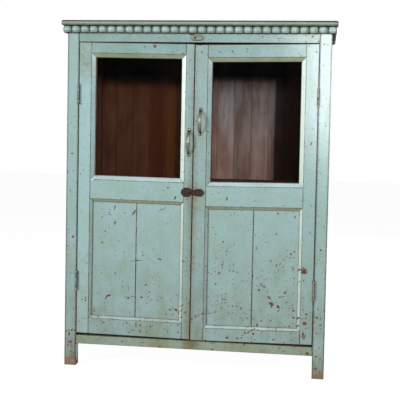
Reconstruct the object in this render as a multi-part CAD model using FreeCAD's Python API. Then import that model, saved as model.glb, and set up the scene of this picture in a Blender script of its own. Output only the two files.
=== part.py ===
"""Painted wooden cupboard with two glazed and panelled doors under a beaded cornice.

Units are millimetres. X runs to the right, Y to the back and Z up. The origin lies on the floor, under
the middle of the top board. Depths in the functions below are counted back from the posts' front faces.
"""
import FreeCAD
import Part
import os
from dataclasses import dataclass

from FreeCAD import Vector

# Carcass
body_width = 1200.0
body_depth = 420.0
carcass_height = 1569.0
leg_height = 102.5
post_width = 54.0
post_depth = 42.0
rail_thickness = 28.0
top_rail_height = 72.0
bottom_rail_height = 40.5
bottom_rail_setback = 2.0
side_rail_thickness = 24.0
side_rail_height = 80.0
side_middle_rail_height = 800.0
side_panel_thickness = 10.0
side_panel_boards = 3
groove_depth = 8.0
groove_play = 1.0
tenon_length = 26.0
side_tenon_length = 18.0
side_tenon_shoulder = 2.0
tenon_thickness = 10.0
tenon_shoulder = 7.0
tenon_play = 0.2

# Back, floor and shelf
back_board_thickness = 12.0
back_board_count = 13
back_rebate = 12.0
rear_rail_thickness = 24.0
board_gap = 1.5
board_lap = 8.0
floor_thickness = 18.0
shelf_thickness = 18.0
shelf_drop = 14.0
shelf_board_count = 4
bearer_width = 24.0
bearer_height = 26.0
inside_play = 1.0
door_stop_gap = 1.5

# Top board and bead mouldings
top_thickness = 23.5
top_overhang = 32.0
top_side_overhang = 25.0
top_nose_radius = 9.0
top_corner_radius = 12.0
moulding_height = 32.0
moulding_backing = 8.0
bead_count = 30
bead_radius = 21.2
bead_end_radius = 16.5
bead_sink = 7.2
bead_end_gap = 0.5
bead_cut_count = 5

# Doors
door_thickness = 34.0
hinge_gap = 2.0
foot_gap = 3.0
left_head_gap = 2.0
right_head_gap = 3.0
left_sag = 5.0
right_sag = 7.0
left_bottom_rail = 72.0
right_bottom_rail = 58.0
left_panel_opening = 555.0
right_panel_opening = 556.0
left_lock_rail = 88.0
right_lock_rail = 91.0
left_top_rail = 47.0
right_top_rail = 57.0
meeting_gap = 3.0
meeting_offset = -10.5
hinge_stile_width = 56.0
left_meeting_stile = 38.0
right_meeting_stile = 59.0
window_moulding = 20.0
window_chamfer_depth = 8.0
glass_depth = 19.0
glass_thickness = 3.0
glass_play = 1.0
rebate_lip = 12.0
panel_moulding = 14.0
panel_chamfer_depth = 6.0
panel_depth = 10.0
panel_thickness = 10.0

# Butt hinges
hinge_height = 88.0
lower_hinge_rise = 257.0
upper_hinge_drop = 237.0
knuckle_radius = 5.0
knuckle_clearance = 0.4
knuckle_count = 5
knuckle_play = 0.3
leaf_thickness = 1.8
leaf_depth = 26.0
leaf_play = 0.4
pin_radius = 2.2
pin_head_radius = 3.6
pin_head_height = 2.0
fixed_fit = 0.02
running_fit = 0.07

# Bow handles
handle_length = 130.0
handle_reach = 28.0
handle_width = 16.0
handle_end_width = 9.0
handle_thickness = 5.0
handle_foot_width = 17.0
handle_foot_length = 24.0
handle_foot_thickness = 3.5
left_handle_rise = 226.0
right_handle_rise = 320.0

# Hasp and staple
hasp_rise = 2.0
hasp_thickness = 2.2
hasp_plate_thickness = 2.0
hasp_knuckle_radius = 3.5
hasp_knuckle_length = 8.0
hasp_pin_radius = 1.6
hasp_lift = 0.4
hasp_leaf_reach = 37.0
hasp_leaf_width = 33.0
hasp_strap_reach = 48.0
hasp_strap_width = 33.0
hasp_neck_width = 24.0
hasp_slot_width = 10.0
hasp_swing_play = 4.0
staple_wire = 4.5
staple_spread = 15.0
staple_reach = 20.0
staple_drive = 10.0
staple_offset = 19.5
staple_plate_width = 42.0
staple_plate_tip = 12.0
staple_plate_length = 50.0

# Turn button
button_width = 22.0
button_long_arm = 35.0
button_short_arm = 18.0
button_thickness = 8.0
button_clearance = 0.6
button_nail_radius = 2.2
button_nail_head = 5.0
button_nail_crown = 2.0
button_nail_drive = 18.0

# Places that follow from the sizes
half_width = body_width / 2
opening_half = half_width - post_width
front_y = top_overhang - (body_depth + top_overhang) / 2
rear_post_depth = body_depth - post_depth
opening_bottom = leg_height + bottom_rail_height
opening_top = carcass_height - top_rail_height
rail_inner = half_width - side_rail_thickness
back_face = body_depth - back_board_thickness
rear_rail_front = back_face - rear_rail_thickness
moulding_bottom = carcass_height - moulding_height
moulding_reach = moulding_backing - bead_sink + bead_radius
most_fall = max(left_head_gap + left_sag, right_head_gap + right_sag)
door_height = opening_top - opening_bottom - foot_gap - most_fall
shelf_height = side_middle_rail_height + side_rail_height - shelf_drop
opening_far = opening_half - hinge_gap - hinge_stile_width
hinge_axis = opening_half - hinge_gap / 2
hinge_heights = (opening_bottom + lower_hinge_rise, opening_top - upper_hinge_drop)
hinge_depth = -(knuckle_radius + knuckle_clearance)
UP = Vector(0, 0, 1)
BACK = Vector(0, 1, 0)
SIDES = {"left": -1, "right": 1}


def at(x, depth, z):
    """Return a point from its place across, its depth behind the posts' front faces and its height."""
    return Vector(x, front_y + depth, z)


def box(x_ends, depth_ends, z_ends):
    """Return a box between two places on each axis, given in either order."""
    x0, x1 = sorted(x_ends)
    d0, d1 = sorted(depth_ends)
    z0, z1 = sorted(z_ends)
    return Part.makeBox(x1 - x0, d1 - d0, z1 - z0, at(x0, d0, z0))


def polygon_face(points):
    """Return a flat face with straight edges through the points."""
    return Part.Face(Part.makePolygon(points + points[:1]))


def board_back(outline, depth_ends):
    """Return an outline of (x, z) points drawn out from one depth to another."""
    d0, d1 = sorted(depth_ends)
    face = polygon_face([at(x, d0, z) for x, z in outline])
    return face.extrude(BACK * (d1 - d0))


def board_up(outline, z_ends):
    """Return an outline of (x, depth) points drawn out from one height to another."""
    z0, z1 = sorted(z_ends)
    face = polygon_face([at(x, depth, z0) for x, depth in outline])
    return face.extrude(UP * (z1 - z0))


def joined(shapes):
    """Return touching or overlapping shapes as one solid with its flat faces made whole."""
    first, *others = shapes
    return first.fuse(others).removeSplitter()


def round_bar(x, depth, z_ends, radius):
    """Return an upright cylinder between two heights."""
    z0, z1 = sorted(z_ends)
    return Part.makeCylinder(radius, z1 - z0, at(x, depth, z0), UP)


def save(name, shapes):
    """Write one node, which holds one solid or a group of like ones."""
    shape = shapes[0] if len(shapes) == 1 else Part.makeCompound(shapes)
    shape.exportStep(f"parts/{name}.step")


def lapped_boards(ends, count, front, thickness, strip):
    """Return boards side by side that overlap by half their thickness.

    strip(start, end, front, back) makes one plain board between two places across and two depths.
    """
    start, end = ends
    middle = front + thickness / 2
    pitch = (end - start + board_gap) / count
    boards = []
    for index in range(count):
        left = start + index * pitch
        right = left + pitch - board_gap
        back_left = left + board_lap if index else left
        back_right = right + board_lap if index < count - 1 else right
        boards.append(joined([
            strip(left, right, front, middle),
            strip(back_left, back_right, middle, front + thickness),
        ]))
    return boards


@dataclass
class Opening:
    """A window or panel opening of a door, between the lines where its mouldings begin."""

    left: float
    right: float
    bottom: float
    top: float
    fall: callable

    def corner(self, across, up, inset):
        """Return the (x, z) of a corner moved inwards; across and up are -1 or 1."""
        x = self.left + inset if across < 0 else self.right - inset
        z = self.bottom + inset if up < 0 else self.top - inset
        return x, z - self.fall(x)

    def outline(self, inset):
        """Return the four corners of the opening at an inset."""
        return [self.corner(across, up, inset) for across, up in ((-1, -1), (1, -1), (1, 1), (-1, 1))]

    def edge(self, name, insets, front_depths, back_depth):
        """Return a mitred strip along one edge, whose front slopes between two depths."""
        ends = {
            "left": ((-1, -1), (-1, 1)),
            "right": ((1, -1), (1, 1)),
            "bottom": ((-1, -1), (1, -1)),
            "top": ((-1, 1), (1, 1)),
        }[name]
        outer = [self.corner(*end, insets[0]) for end in ends]
        inner = [self.corner(*end, insets[1]) for end in ends]
        plan = [outer[0], outer[1], inner[1], inner[0]]
        depths = [front_depths[0], front_depths[0], front_depths[1], front_depths[1]]
        front = [at(x, depth, z) for (x, z), depth in zip(plan, depths)]
        back = [at(x, back_depth, z) for x, z in plan]
        sides = []
        for index in range(4):
            following = (index + 1) % 4
            sides.append([front[index], front[following], back[following], back[index]])
        shell = Part.makeShell([polygon_face(points) for points in [front, back] + sides])
        solid = Part.makeSolid(shell)
        if solid.Volume < 0:
            solid.reverse()
        return solid


@dataclass
class Door:
    """One hand-made door: its side, how it hangs and the heights of its rails at the hinges."""

    name: str
    side: int
    head_gap: float
    sag: float
    bottom_rail: float
    panel_opening: float
    lock_rail: float
    top_rail: float
    meeting_stile_width: float

    def __post_init__(self):
        """Work out the door's edges and its two openings."""
        self.hinge_x = self.side * (opening_half - hinge_gap)
        self.meeting_x = meeting_offset + self.side * meeting_gap / 2
        self.top = opening_top - self.head_gap
        self.bottom = self.top - door_height
        self.near = self.meeting_x + self.side * self.meeting_stile_width
        self.far = self.side * opening_far
        x0, x1 = sorted((self.near, self.far))
        panel_bottom = self.bottom + self.bottom_rail
        panel_top = panel_bottom + self.panel_opening
        window_bottom = panel_top + self.lock_rail
        window_top = self.top - self.top_rail
        self.panel = Opening(x0, x1, panel_bottom, panel_top, self.fall)
        self.window = Opening(x0, x1, window_bottom, window_top, self.fall)
        self.hinge_edge = "left" if self.side < 0 else "right"
        self.meeting_edge = "right" if self.side < 0 else "left"

    def fall(self, x):
        """Return how far the sagged door has dropped at a place across it."""
        return self.sag * abs(x - self.hinge_x) / abs(self.meeting_x - self.hinge_x)

    def strip(self, x_ends, z_ends, depth_ends):
        """Return a board of the door that follows its sag."""
        (x0, x1), (z0, z1) = sorted(x_ends), sorted(z_ends)
        outline = [(x0, z0), (x1, z0), (x1, z1), (x0, z1)]
        return board_back([(x, z - self.fall(x)) for x, z in outline], depth_ends)

    def rails(self):
        """Return the name and the heights of each rail's plain face."""
        return {
            "top_rail": (self.window.top, self.top),
            "lock_rail": (self.panel.top, self.window.bottom),
            "bottom_rail": (self.bottom, self.panel.bottom),
        }

    def tenon(self, heights, shoulder_x, way, play=0.0):
        """Return a rail's tenon, or with play its mortise, from the shoulder into a stile."""
        z0, z1 = heights
        x_ends = (shoulder_x, shoulder_x + way * (tenon_length + play))
        z_ends = (z0 + tenon_shoulder - play, z1 - tenon_shoulder + play)
        middle = door_thickness / 2
        reach = tenon_thickness / 2 + play
        return self.strip(x_ends, z_ends, (middle - reach, middle + reach))

    def window_edge(self, edge):
        """Return the chamfered lip in front of the glass, with the wood beside its rebate."""
        chamfer = (0.0, window_chamfer_depth)
        rebate_floor = window_moulding - rebate_lip
        lip = self.window.edge(edge, (0.0, window_moulding), chamfer, glass_depth)
        beside = self.window.edge(edge, (0.0, rebate_floor), (glass_depth, glass_depth), door_thickness)
        return [lip, beside]

    def panel_edge(self, edge):
        """Return the chamfered edge round the panel, with the groove that holds it."""
        chamfer = (0.0, panel_chamfer_depth)
        solid = self.panel.edge(edge, (0.0, panel_moulding), chamfer, door_thickness)
        grooved = (panel_moulding - groove_depth, panel_moulding)
        panel_back = panel_depth + panel_thickness
        return [solid.cut(self.panel.edge(edge, grooved, (panel_depth, panel_depth), panel_back))]

    def stile(self, x_ends, edge, shoulder_x, way):
        """Return an upright with its two moulded edges and the mortises of the three rails."""
        plain = self.strip(x_ends, (self.bottom, self.top), (0.0, door_thickness))
        mortises = [self.tenon(heights, shoulder_x, way, tenon_play) for heights in self.rails().values()]
        return joined([plain.cut(mortises)] + self.window_edge(edge) + self.panel_edge(edge))

    def hinge_stile(self):
        """Return the upright that carries the hinges."""
        stile = self.stile((self.hinge_x, self.far), self.hinge_edge, self.far, self.side)
        return stile.cut([leaf_recess(self.side, height, -1) for height in hinge_heights])

    def meeting_stile(self):
        """Return the upright at the meeting line."""
        return self.stile((self.meeting_x, self.near), self.meeting_edge, self.near, -self.side)

    def rail(self, name):
        """Return a rail with its tenons and moulded edges."""
        heights = self.rails()[name]
        shapes = [self.strip((self.near, self.far), heights, (0.0, door_thickness))]
        shapes.append(self.tenon(heights, self.far, self.side))
        shapes.append(self.tenon(heights, self.near, -self.side))
        if name == "top_rail":
            shapes += self.window_edge("top")
        if name == "lock_rail":
            shapes += self.window_edge("bottom") + self.panel_edge("top")
        if name == "bottom_rail":
            shapes += self.panel_edge("bottom")
        return joined(shapes)

    def glass(self):
        """Return the window pane."""
        inset = window_moulding - rebate_lip + glass_play
        return board_back(self.window.outline(inset), (glass_depth, glass_depth + glass_thickness))

    def glazing_beads(self):
        """Return the four mitred beads behind the glass."""
        insets = (window_moulding - rebate_lip, window_moulding)
        front = glass_depth + glass_thickness
        edges = ("left", "right", "bottom", "top")
        return [self.window.edge(edge, insets, (front, front), door_thickness) for edge in edges]

    def panel_boards(self):
        """Return the two lapped boards of the lower panel."""
        inset = panel_moulding - groove_depth + groove_play
        heights = (self.panel.bottom + inset, self.panel.top - inset)

        def strip(start, end, front, back):
            return self.strip((start, end), heights, (front, back))

        ends = (self.panel.left + inset, self.panel.right - inset)
        return lapped_boards(ends, 2, panel_depth, panel_thickness, strip)


def leaf_recess(side, height, way):
    """Return the recess of a hinge leaf, in the post with way 1 or in the door with way -1."""
    face = hinge_axis + way * hinge_gap / 2
    seat = hinge_axis + way * (leaf_play / 2 + leaf_thickness)
    z_ends = (height - hinge_height / 2, height + hinge_height / 2)
    return box((side * face, side * seat), (-1.0, leaf_depth), z_ends)


def hinge_leaf(side, height, way):
    """Return a hinge leaf with its knuckles: the frame's with way 1, the door's with way -1."""
    axis_x = side * hinge_axis
    x_ends = [axis_x + side * way * reach for reach in (leaf_play / 2, leaf_play / 2 + leaf_thickness)]
    bottom = height - hinge_height / 2
    shapes = [box(x_ends, (knuckle_clearance, leaf_depth), (bottom, bottom + hinge_height))]
    step = hinge_height / knuckle_count
    for index in range(0 if way > 0 else 1, knuckle_count, 2):
        z_ends = (bottom + index * step + knuckle_play / 2, bottom + (index + 1) * step - knuckle_play / 2)
        shapes.append(round_bar(axis_x, hinge_depth, z_ends, knuckle_radius))
        shapes.append(box(x_ends, (hinge_depth, knuckle_clearance), z_ends))
    fit = fixed_fit if way > 0 else running_fit
    bore = round_bar(axis_x, hinge_depth, (bottom, bottom + hinge_height), pin_radius + fit)
    return joined(shapes).cut(bore)


def hinge_pin(side, height):
    """Return a hinge pin with a head at each end."""
    axis_x = side * hinge_axis
    bottom, top = height - hinge_height / 2, height + hinge_height / 2
    return joined([
        round_bar(axis_x, hinge_depth, (bottom, top), pin_radius),
        round_bar(axis_x, hinge_depth, (bottom - pin_head_height, bottom), pin_head_radius),
        round_bar(axis_x, hinge_depth, (top, top + pin_head_height), pin_head_radius),
    ])


def side_rails():
    """Return the heights of the three rails of each side."""
    return {
        "top": (carcass_height - side_rail_height, carcass_height),
        "middle": (side_middle_rail_height, side_middle_rail_height + side_rail_height),
        "bottom": (leg_height, opening_bottom),
    }


def side_middle():
    """Return the place across of the middle of a side's thickness."""
    return half_width - side_rail_thickness / 2


def cross_tenon(side, z_ends, depth_ends, play=0.0):
    """Return a front or rear rail's tenon, or with play its mortise, inside a post."""
    x_ends = (side * opening_half, side * (opening_half + tenon_length + play))
    heights = (z_ends[0] + tenon_shoulder - play, z_ends[1] - tenon_shoulder + play)
    middle = sum(depth_ends) / 2
    reach = tenon_thickness / 2 + play
    return box(x_ends, (middle - reach, middle + reach), heights)


def side_tenon(side, z_ends, post_face, way, play=0.0):
    """Return a side rail's tenon, or with play its mortise, inside a post."""
    reach = side_panel_thickness / 2 + play
    x_ends = (side * (side_middle() - reach), side * (side_middle() + reach))
    shoulder = groove_depth + side_tenon_shoulder - play
    heights = (z_ends[0] + shoulder, z_ends[1] - shoulder)
    return box(x_ends, (post_face, post_face + way * (side_tenon_length + play)), heights)


def panel_groove(side, depth_ends, z_ends):
    """Return the groove of a side panel along a post or a rail."""
    reach = side_panel_thickness / 2
    x_ends = (side * (side_middle() - reach), side * (side_middle() + reach))
    return box(x_ends, depth_ends, z_ends)


def front_rails():
    """Return the heights and depths of the two front rails."""
    return {
        "front_top_rail": ((opening_top, carcass_height), (0.0, rail_thickness)),
        "front_bottom_rail": (
            (leg_height, opening_bottom),
            (bottom_rail_setback, post_depth),
        ),
    }


def rear_rails():
    """Return the heights and depths of the two rear rails."""
    depths = (rear_rail_front, back_face)
    return {
        "rear_top_rail": ((opening_top, carcass_height), depths),
        "rear_bottom_rail": ((leg_height, opening_bottom), depths),
    }


def post(side, is_front):
    """Return a corner post with its mortises, panel grooves and hinge recesses."""
    depth_ends = (0.0, post_depth) if is_front else (rear_post_depth, body_depth)
    inner_face = post_depth if is_front else rear_post_depth
    way = -1 if is_front else 1
    shape = box((side * opening_half, side * half_width), depth_ends, (0.0, carcass_height))
    cuts = []
    for z_ends, depths in (front_rails() if is_front else rear_rails()).values():
        cuts.append(cross_tenon(side, z_ends, depths, tenon_play))
    for z_ends in side_rails().values():
        cuts.append(side_tenon(side, z_ends, inner_face, way, tenon_play))
    groove_ends = (opening_bottom - groove_depth, side_rails()["top"][0] + groove_depth)
    cuts.append(panel_groove(side, (inner_face, inner_face + way * groove_depth), groove_ends))
    if is_front:
        cuts += [leaf_recess(side, height, 1) for height in hinge_heights]
    else:
        x_ends = (side * opening_half, side * (opening_half + back_rebate))
        cuts.append(box(x_ends, (back_face, body_depth), (leg_height, carcass_height)))
    return shape.cut(cuts)


def cross_rail(z_ends, depth_ends):
    """Return a front or rear rail with its two tenons."""
    shapes = [box((-opening_half, opening_half), depth_ends, z_ends)]
    shapes += [cross_tenon(side, z_ends, depth_ends) for side in SIDES.values()]
    return joined(shapes)


def side_rail(side, name):
    """Return a side rail with its two tenons and the grooves of the panels it meets."""
    z0, z1 = side_rails()[name]
    depths = (post_depth, rear_post_depth)
    shape = joined([
        box((side * rail_inner, side * half_width), depths, (z0, z1)),
        side_tenon(side, (z0, z1), post_depth, -1),
        side_tenon(side, (z0, z1), rear_post_depth, 1),
    ])
    cuts = []
    if name != "top":
        cuts.append(panel_groove(side, depths, (z1 - groove_depth, z1)))
    if name != "bottom":
        cuts.append(panel_groove(side, depths, (z0, z0 + groove_depth)))
    return shape.cut(cuts)


def side_panel(side, low_rail, high_rail):
    """Return the lapped upright boards of a side panel, held in the grooves."""
    rails = side_rails()
    seat = groove_depth - groove_play
    heights = (rails[low_rail][1] - seat, rails[high_rail][0] + seat)
    front = side_middle() - side_panel_thickness / 2

    def strip(start, end, inner, outer):
        return box((side * inner, side * outer), (start, end), heights)

    ends = (post_depth - seat, rear_post_depth + seat)
    return lapped_boards(ends, side_panel_boards, front, side_panel_thickness, strip)


def back_boards():
    """Return the lapped upright boards of the back, in the rebates of the rear posts."""
    heights = (leg_height, carcass_height)

    def strip(start, end, front, back):
        return box((start, end), (front, back), heights)

    edge = opening_half + back_rebate - groove_play
    return lapped_boards((-edge, edge), back_board_count, back_face, back_board_thickness, strip)


def level_boards(top, thickness):
    """Return the long boards of the floor or the shelf; the first is notched round the front posts."""
    edge = rail_inner - inside_play
    throat = opening_half - inside_play
    front = door_thickness + door_stop_gap
    start, end = post_depth + inside_play, rear_post_depth - inside_play
    pitch = (end - start + board_gap) / shelf_board_count
    notched = [
        (-edge, start), (-throat, start), (-throat, front), (throat, front), (throat, start), (edge, start),
        (edge, start + pitch - board_gap), (-edge, start + pitch - board_gap),
    ]
    boards = [board_up(notched, (top - thickness, top))]
    for index in range(1, shelf_board_count):
        near = start + index * pitch
        boards.append(box((-edge, edge), (near, near + pitch - board_gap), (top - thickness, top)))
    return boards


def bearers(top):
    """Return the two bearers, fixed to the side rails, that carry a level of boards."""
    depths = (post_depth, rear_post_depth)
    heights = (top - bearer_height, top)
    places = (rail_inner - bearer_width, rail_inner)
    return [box([side * place for place in places], depths, heights) for side in SIDES.values()]


def top_board():
    """Return the top board with rounded corners and a rounded nose on three sides."""
    edge = half_width + top_side_overhang
    top = carcass_height + top_thickness
    slab = box((-edge, edge), (-top_overhang, body_depth), (carcass_height, top))
    corners = [line for line in slab.Edges if line.BoundBox.YMax < front_y and line.BoundBox.ZLength > 0.1]
    slab = slab.makeFillet(top_corner_radius, corners)
    nose = [line for line in slab.Edges if line.BoundBox.YMin < front_y and line.BoundBox.ZLength < 0.1]
    return slab.makeFillet(top_nose_radius, nose)


def bead(x, depth):
    """Return one carved bead, a barrel that stands upright, rounded with a few straight cuts."""
    low, high = moulding_bottom + bead_end_gap, carcass_height - bead_end_gap
    ends = [at(x + bead_end_radius, depth, low), at(x + bead_end_radius, depth, high)]
    swell = Part.Arc(ends[0], at(x + bead_radius, depth, (low + high) / 2), ends[1])
    profile = [at(x, depth, low)] + swell.discretize(Number=bead_cut_count + 1) + [at(x, depth, high)]
    return polygon_face(profile).revolve(profile[0], UP, 360)


def moulding(outline, places):
    """Return a bead moulding: a backing strip with beads, cut to the mitres of its outline."""
    heights = (moulding_bottom, carcass_height)
    room = board_up(outline(moulding_reach), heights)
    strip = joined([board_up(outline(moulding_backing), heights)] + [bead(*place) for place in places])
    return strip.common(room).removeSplitter()


def front_moulding():
    """Return the bead moulding across the front, mitred at both ends."""

    def outline(reach):
        outer = half_width + reach
        return [(-half_width, 0), (half_width, 0), (outer, -reach), (-outer, -reach)]

    length = body_width + 2 * moulding_reach
    pitch = length / bead_count
    axis_depth = bead_sink - moulding_backing
    places = [((index + 0.5) * pitch - length / 2, axis_depth) for index in range(bead_count)]
    return moulding(outline, places)


def side_moulding(side):
    """Return the bead moulding along a side, mitred at the front and square at the back."""

    def outline(reach):
        edge = side * half_width
        outer = side * (half_width + reach)
        return [(edge, 0), (edge, body_depth), (outer, body_depth), (outer, -reach)]

    length = body_depth + moulding_reach
    count = round(length * bead_count / (body_width + 2 * moulding_reach))
    pitch = length / count
    axis_x = side * (half_width + moulding_backing - bead_sink)
    places = [(axis_x, (index + 0.5) * pitch - moulding_reach) for index in range(count)]
    return moulding(outline, places)


def arched_face(first, second):
    """Return the face between two arcs, each given by three points, whose ends are joined by lines."""
    lines = [
        Part.Arc(*first).toShape(),
        Part.makeLine(first[2], second[2]),
        Part.Arc(*second).toShape(),
        Part.makeLine(second[0], first[0]),
    ]
    return Part.Face(Part.Wire(Part.__sortEdges__(lines)))


def bow_handle(x, height):
    """Return a bow handle: a strap that swells in the middle, between two leaf-shaped feet."""
    half = (handle_length - handle_foot_length) / 2
    root = handle_foot_thickness / 2

    def bow_line(reach, spread):
        return [at(x, -root, height - spread), at(x, -reach, height), at(x, -root, height + spread)]

    def rim_line(way):
        end_x, middle_x = x + way * handle_end_width / 2, x + way * handle_width / 2
        front = -2 * handle_reach
        far = handle_length / 2
        return [at(end_x, front, height - far), at(middle_x, front, height), at(end_x, front, height + far)]

    inner_reach = handle_reach - handle_thickness
    bow_face = arched_face(bow_line(handle_reach, half + root), bow_line(inner_reach, half - root))
    bow_face.translate(Vector(-handle_width, 0, 0))
    bow = bow_face.extrude(Vector(2 * handle_width, 0, 0))
    rim = arched_face(rim_line(-1), rim_line(1)).extrude(BACK * 2 * handle_reach)
    shapes = [bow.common(rim)]
    for way in (-1, 1):
        foot = Part.Ellipse(Vector(), handle_foot_length / 2, handle_foot_width / 2).toShape()
        foot = Part.Face(Part.Wire(foot)).extrude(UP * handle_foot_thickness)
        foot.rotate(Vector(), UP, 90)
        foot.rotate(Vector(), Vector(1, 0, 0), 90)
        foot.translate(at(x, 0.0, height + way * half))
        shapes.append(foot)
    return joined(shapes)


def hasp_axis():
    """Return the place across and the depth of the hasp's pin, at the right door's meeting edge."""
    x = meeting_offset + meeting_gap / 2 + hasp_knuckle_radius - hasp_lift
    return x, -(hasp_knuckle_radius + 2 * hasp_lift)


def hasp_outline(start, reach, neck, width, tip):
    """Return half-symmetric (x, z) points of a hasp plate that widens from its neck and narrows to a tip."""
    x = hasp_axis()[0]
    lengths = (start, start + (reach - start) / 4, reach - (reach - start) / 4, reach)
    halves = (neck / 2, width / 2, width / 2, tip / 2)
    lower = [(x + length, hasp_height - half) for length, half in zip(lengths, halves)]
    upper = [(x + length, hasp_height + half) for length, half in zip(lengths, halves)]
    return lower + upper[::-1]


def hasp_knuckles(way, depth_ends):
    """Return the knuckles of the leaf, above and below, with way 1, or of the strap between with way 0."""
    x, depth = hasp_axis()
    shapes = []
    for step in ((-1, 1) if way else (0,)):
        middle = hasp_height + step * hasp_knuckle_length
        reach = (hasp_knuckle_length - knuckle_play) / 2
        z_ends = (middle - reach, middle + reach)
        shapes.append(round_bar(x, depth, z_ends, hasp_knuckle_radius))
        shapes.append(box((x, x + hasp_knuckle_radius + hasp_lift), depth_ends, z_ends))
    return shapes


def hasp_bore(fit):
    """Return the hole of the hasp's pin."""
    x, depth = hasp_axis()
    reach = hasp_knuckle_length * 1.5
    return round_bar(x, depth, (hasp_height - reach, hasp_height + reach), hasp_pin_radius + fit)


def hasp_leaf():
    """Return the fixed leaf of the hasp, flat on the right door."""
    start = hasp_knuckle_radius + hasp_lift
    depths = (-hasp_plate_thickness, 0.0)
    outline = hasp_outline(start, hasp_leaf_reach, hasp_neck_width, hasp_leaf_width, hasp_leaf_width)
    shapes = [board_back(outline, depths)] + hasp_knuckles(1, depths)
    return joined(shapes).cut(hasp_bore(fixed_fit))


def hasp_strap_depths():
    """Return the depths of the strap folded open, so that it lies on the staple's plate when closed."""
    closed_back = -(hasp_plate_thickness + hasp_lift)
    turned = 2 * hasp_axis()[1]
    return turned - closed_back, turned - closed_back + hasp_thickness


def hasp_strap():
    """Return the swinging strap of the hasp, folded open over its leaf, with the slot for the staple."""
    start = hasp_knuckle_radius + hasp_lift
    depths = hasp_strap_depths()
    tip = hasp_strap_width / 3
    outline = hasp_outline(start, hasp_strap_reach, hasp_neck_width, hasp_strap_width, tip)
    middle = 2 * hasp_axis()[0] - staple_x()
    reach = (staple_spread + staple_wire) / 2 + hasp_swing_play
    half = hasp_slot_width / 2
    slot = box((middle - reach, middle + reach), depths, (hasp_height - half, hasp_height + half))
    shapes = [board_back(outline, depths)] + hasp_knuckles(0, depths)
    return joined(shapes).cut([hasp_bore(running_fit), slot])


def hasp_pin():
    """Return the pin of the hasp."""
    x, depth = hasp_axis()
    reach = hasp_knuckle_length * 1.5
    return round_bar(x, depth, (hasp_height - reach, hasp_height + reach), hasp_pin_radius)


def staple_x():
    """Return the place across of the staple's middle, on the left door's meeting stile."""
    return meeting_offset - meeting_gap / 2 - staple_offset


def staple_legs(play):
    """Return the two driven legs of the staple, or with play their holes."""
    legs = []
    for way in (-1, 1):
        foot = at(staple_x() + way * staple_spread / 2, staple_drive, hasp_height)
        bend = staple_spread / 2
        length = staple_drive + staple_reach - bend - staple_wire / 2
        legs.append(Part.makeCylinder(staple_wire / 2 + play, length, foot, BACK * -1))
    return legs


def staple():
    """Return the round wire staple that the strap drops over."""
    bend = staple_spread / 2
    depth = -(staple_reach - bend - staple_wire / 2)
    ring = Part.Circle(at(staple_x() + bend, depth, hasp_height), BACK, staple_wire / 2)
    section = Part.Face(Part.Wire(ring.toShape()))
    crown = section.revolve(at(staple_x(), depth, hasp_height), UP, -180)
    return joined([crown] + staple_legs(0.0))


def staple_plate():
    """Return the plate under the staple, pointed away from the meeting line."""
    edge = meeting_offset - meeting_gap / 2 - inside_play
    slope = staple_plate_length / 4
    places = (edge, edge - slope, edge - staple_plate_length + slope, edge - staple_plate_length)
    halves = (hasp_neck_width / 2, staple_plate_width / 2, staple_plate_width / 2, staple_plate_tip / 2)
    lower = [(x, hasp_height - half) for x, half in zip(places, halves)]
    upper = [(x, hasp_height + half) for x, half in zip(places, halves)]
    return board_back(lower + upper[::-1], (-hasp_plate_thickness, 0.0)).cut(staple_legs(fixed_fit))


def button_place():
    """Return the place across and the height of the turn button's nail, under the bead moulding."""
    return meeting_offset, (opening_top + moulding_bottom) / 2


def turn_button():
    """Return the turn button, level and clear of the doors, with its long arm to the right."""
    x, z = button_place()
    depths = (-button_clearance - button_thickness, -button_clearance)
    radius = button_width / 2
    ends = (x - button_short_arm + radius, x + button_long_arm - radius)
    shapes = [box(ends, depths, (z - radius, z + radius))]
    for end in ends:
        shapes.append(Part.makeCylinder(radius, button_thickness, at(end, depths[0], z), BACK))
    hole = Part.makeCylinder(button_nail_radius + running_fit, button_thickness, at(x, depths[0], z), BACK)
    return joined(shapes).cut(hole)


def nail_seat():
    """Return the depth of the underside of the nail's head, just in front of the turn button."""
    return -button_clearance - button_thickness - running_fit


def nail_hole():
    """Return the hole of the nail in the top rail."""
    x, z = button_place()
    radius = button_nail_radius + fixed_fit
    return Part.makeCylinder(radius, button_nail_drive + button_clearance, at(x, -button_clearance, z), BACK)


def turn_button_nail():
    """Return the nail that the turn button turns on, turned in one piece with its crowned head."""
    x, z = button_place()
    seat = nail_seat()
    crown = at(x, seat - button_nail_crown, z)
    shoulder = at(x + button_nail_head * 0.7, seat - button_nail_crown * 0.7, z)
    rim = at(x + button_nail_head, seat, z)
    corners = [rim, at(x + button_nail_radius, seat, z), at(x + button_nail_radius, button_nail_drive, z)]
    corners += [at(x, button_nail_drive, z), crown]
    lines = [Part.Arc(crown, shoulder, rim).toShape()]
    lines += [Part.makeLine(first, second) for first, second in zip(corners, corners[1:])]
    return Part.Face(Part.Wire(lines)).revolve(crown, BACK, 360)


LEFT_DOOR = Door(
    name="left",
    side=-1,
    head_gap=left_head_gap,
    sag=left_sag,
    bottom_rail=left_bottom_rail,
    panel_opening=left_panel_opening,
    lock_rail=left_lock_rail,
    top_rail=left_top_rail,
    meeting_stile_width=left_meeting_stile,
)
RIGHT_DOOR = Door(
    name="right",
    side=1,
    head_gap=right_head_gap,
    sag=right_sag,
    bottom_rail=right_bottom_rail,
    panel_opening=right_panel_opening,
    lock_rail=right_lock_rail,
    top_rail=right_top_rail,
    meeting_stile_width=right_meeting_stile,
)
hasp_height = sum(LEFT_DOOR.rails()["lock_rail"]) / 2 - LEFT_DOOR.sag + hasp_rise


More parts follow.
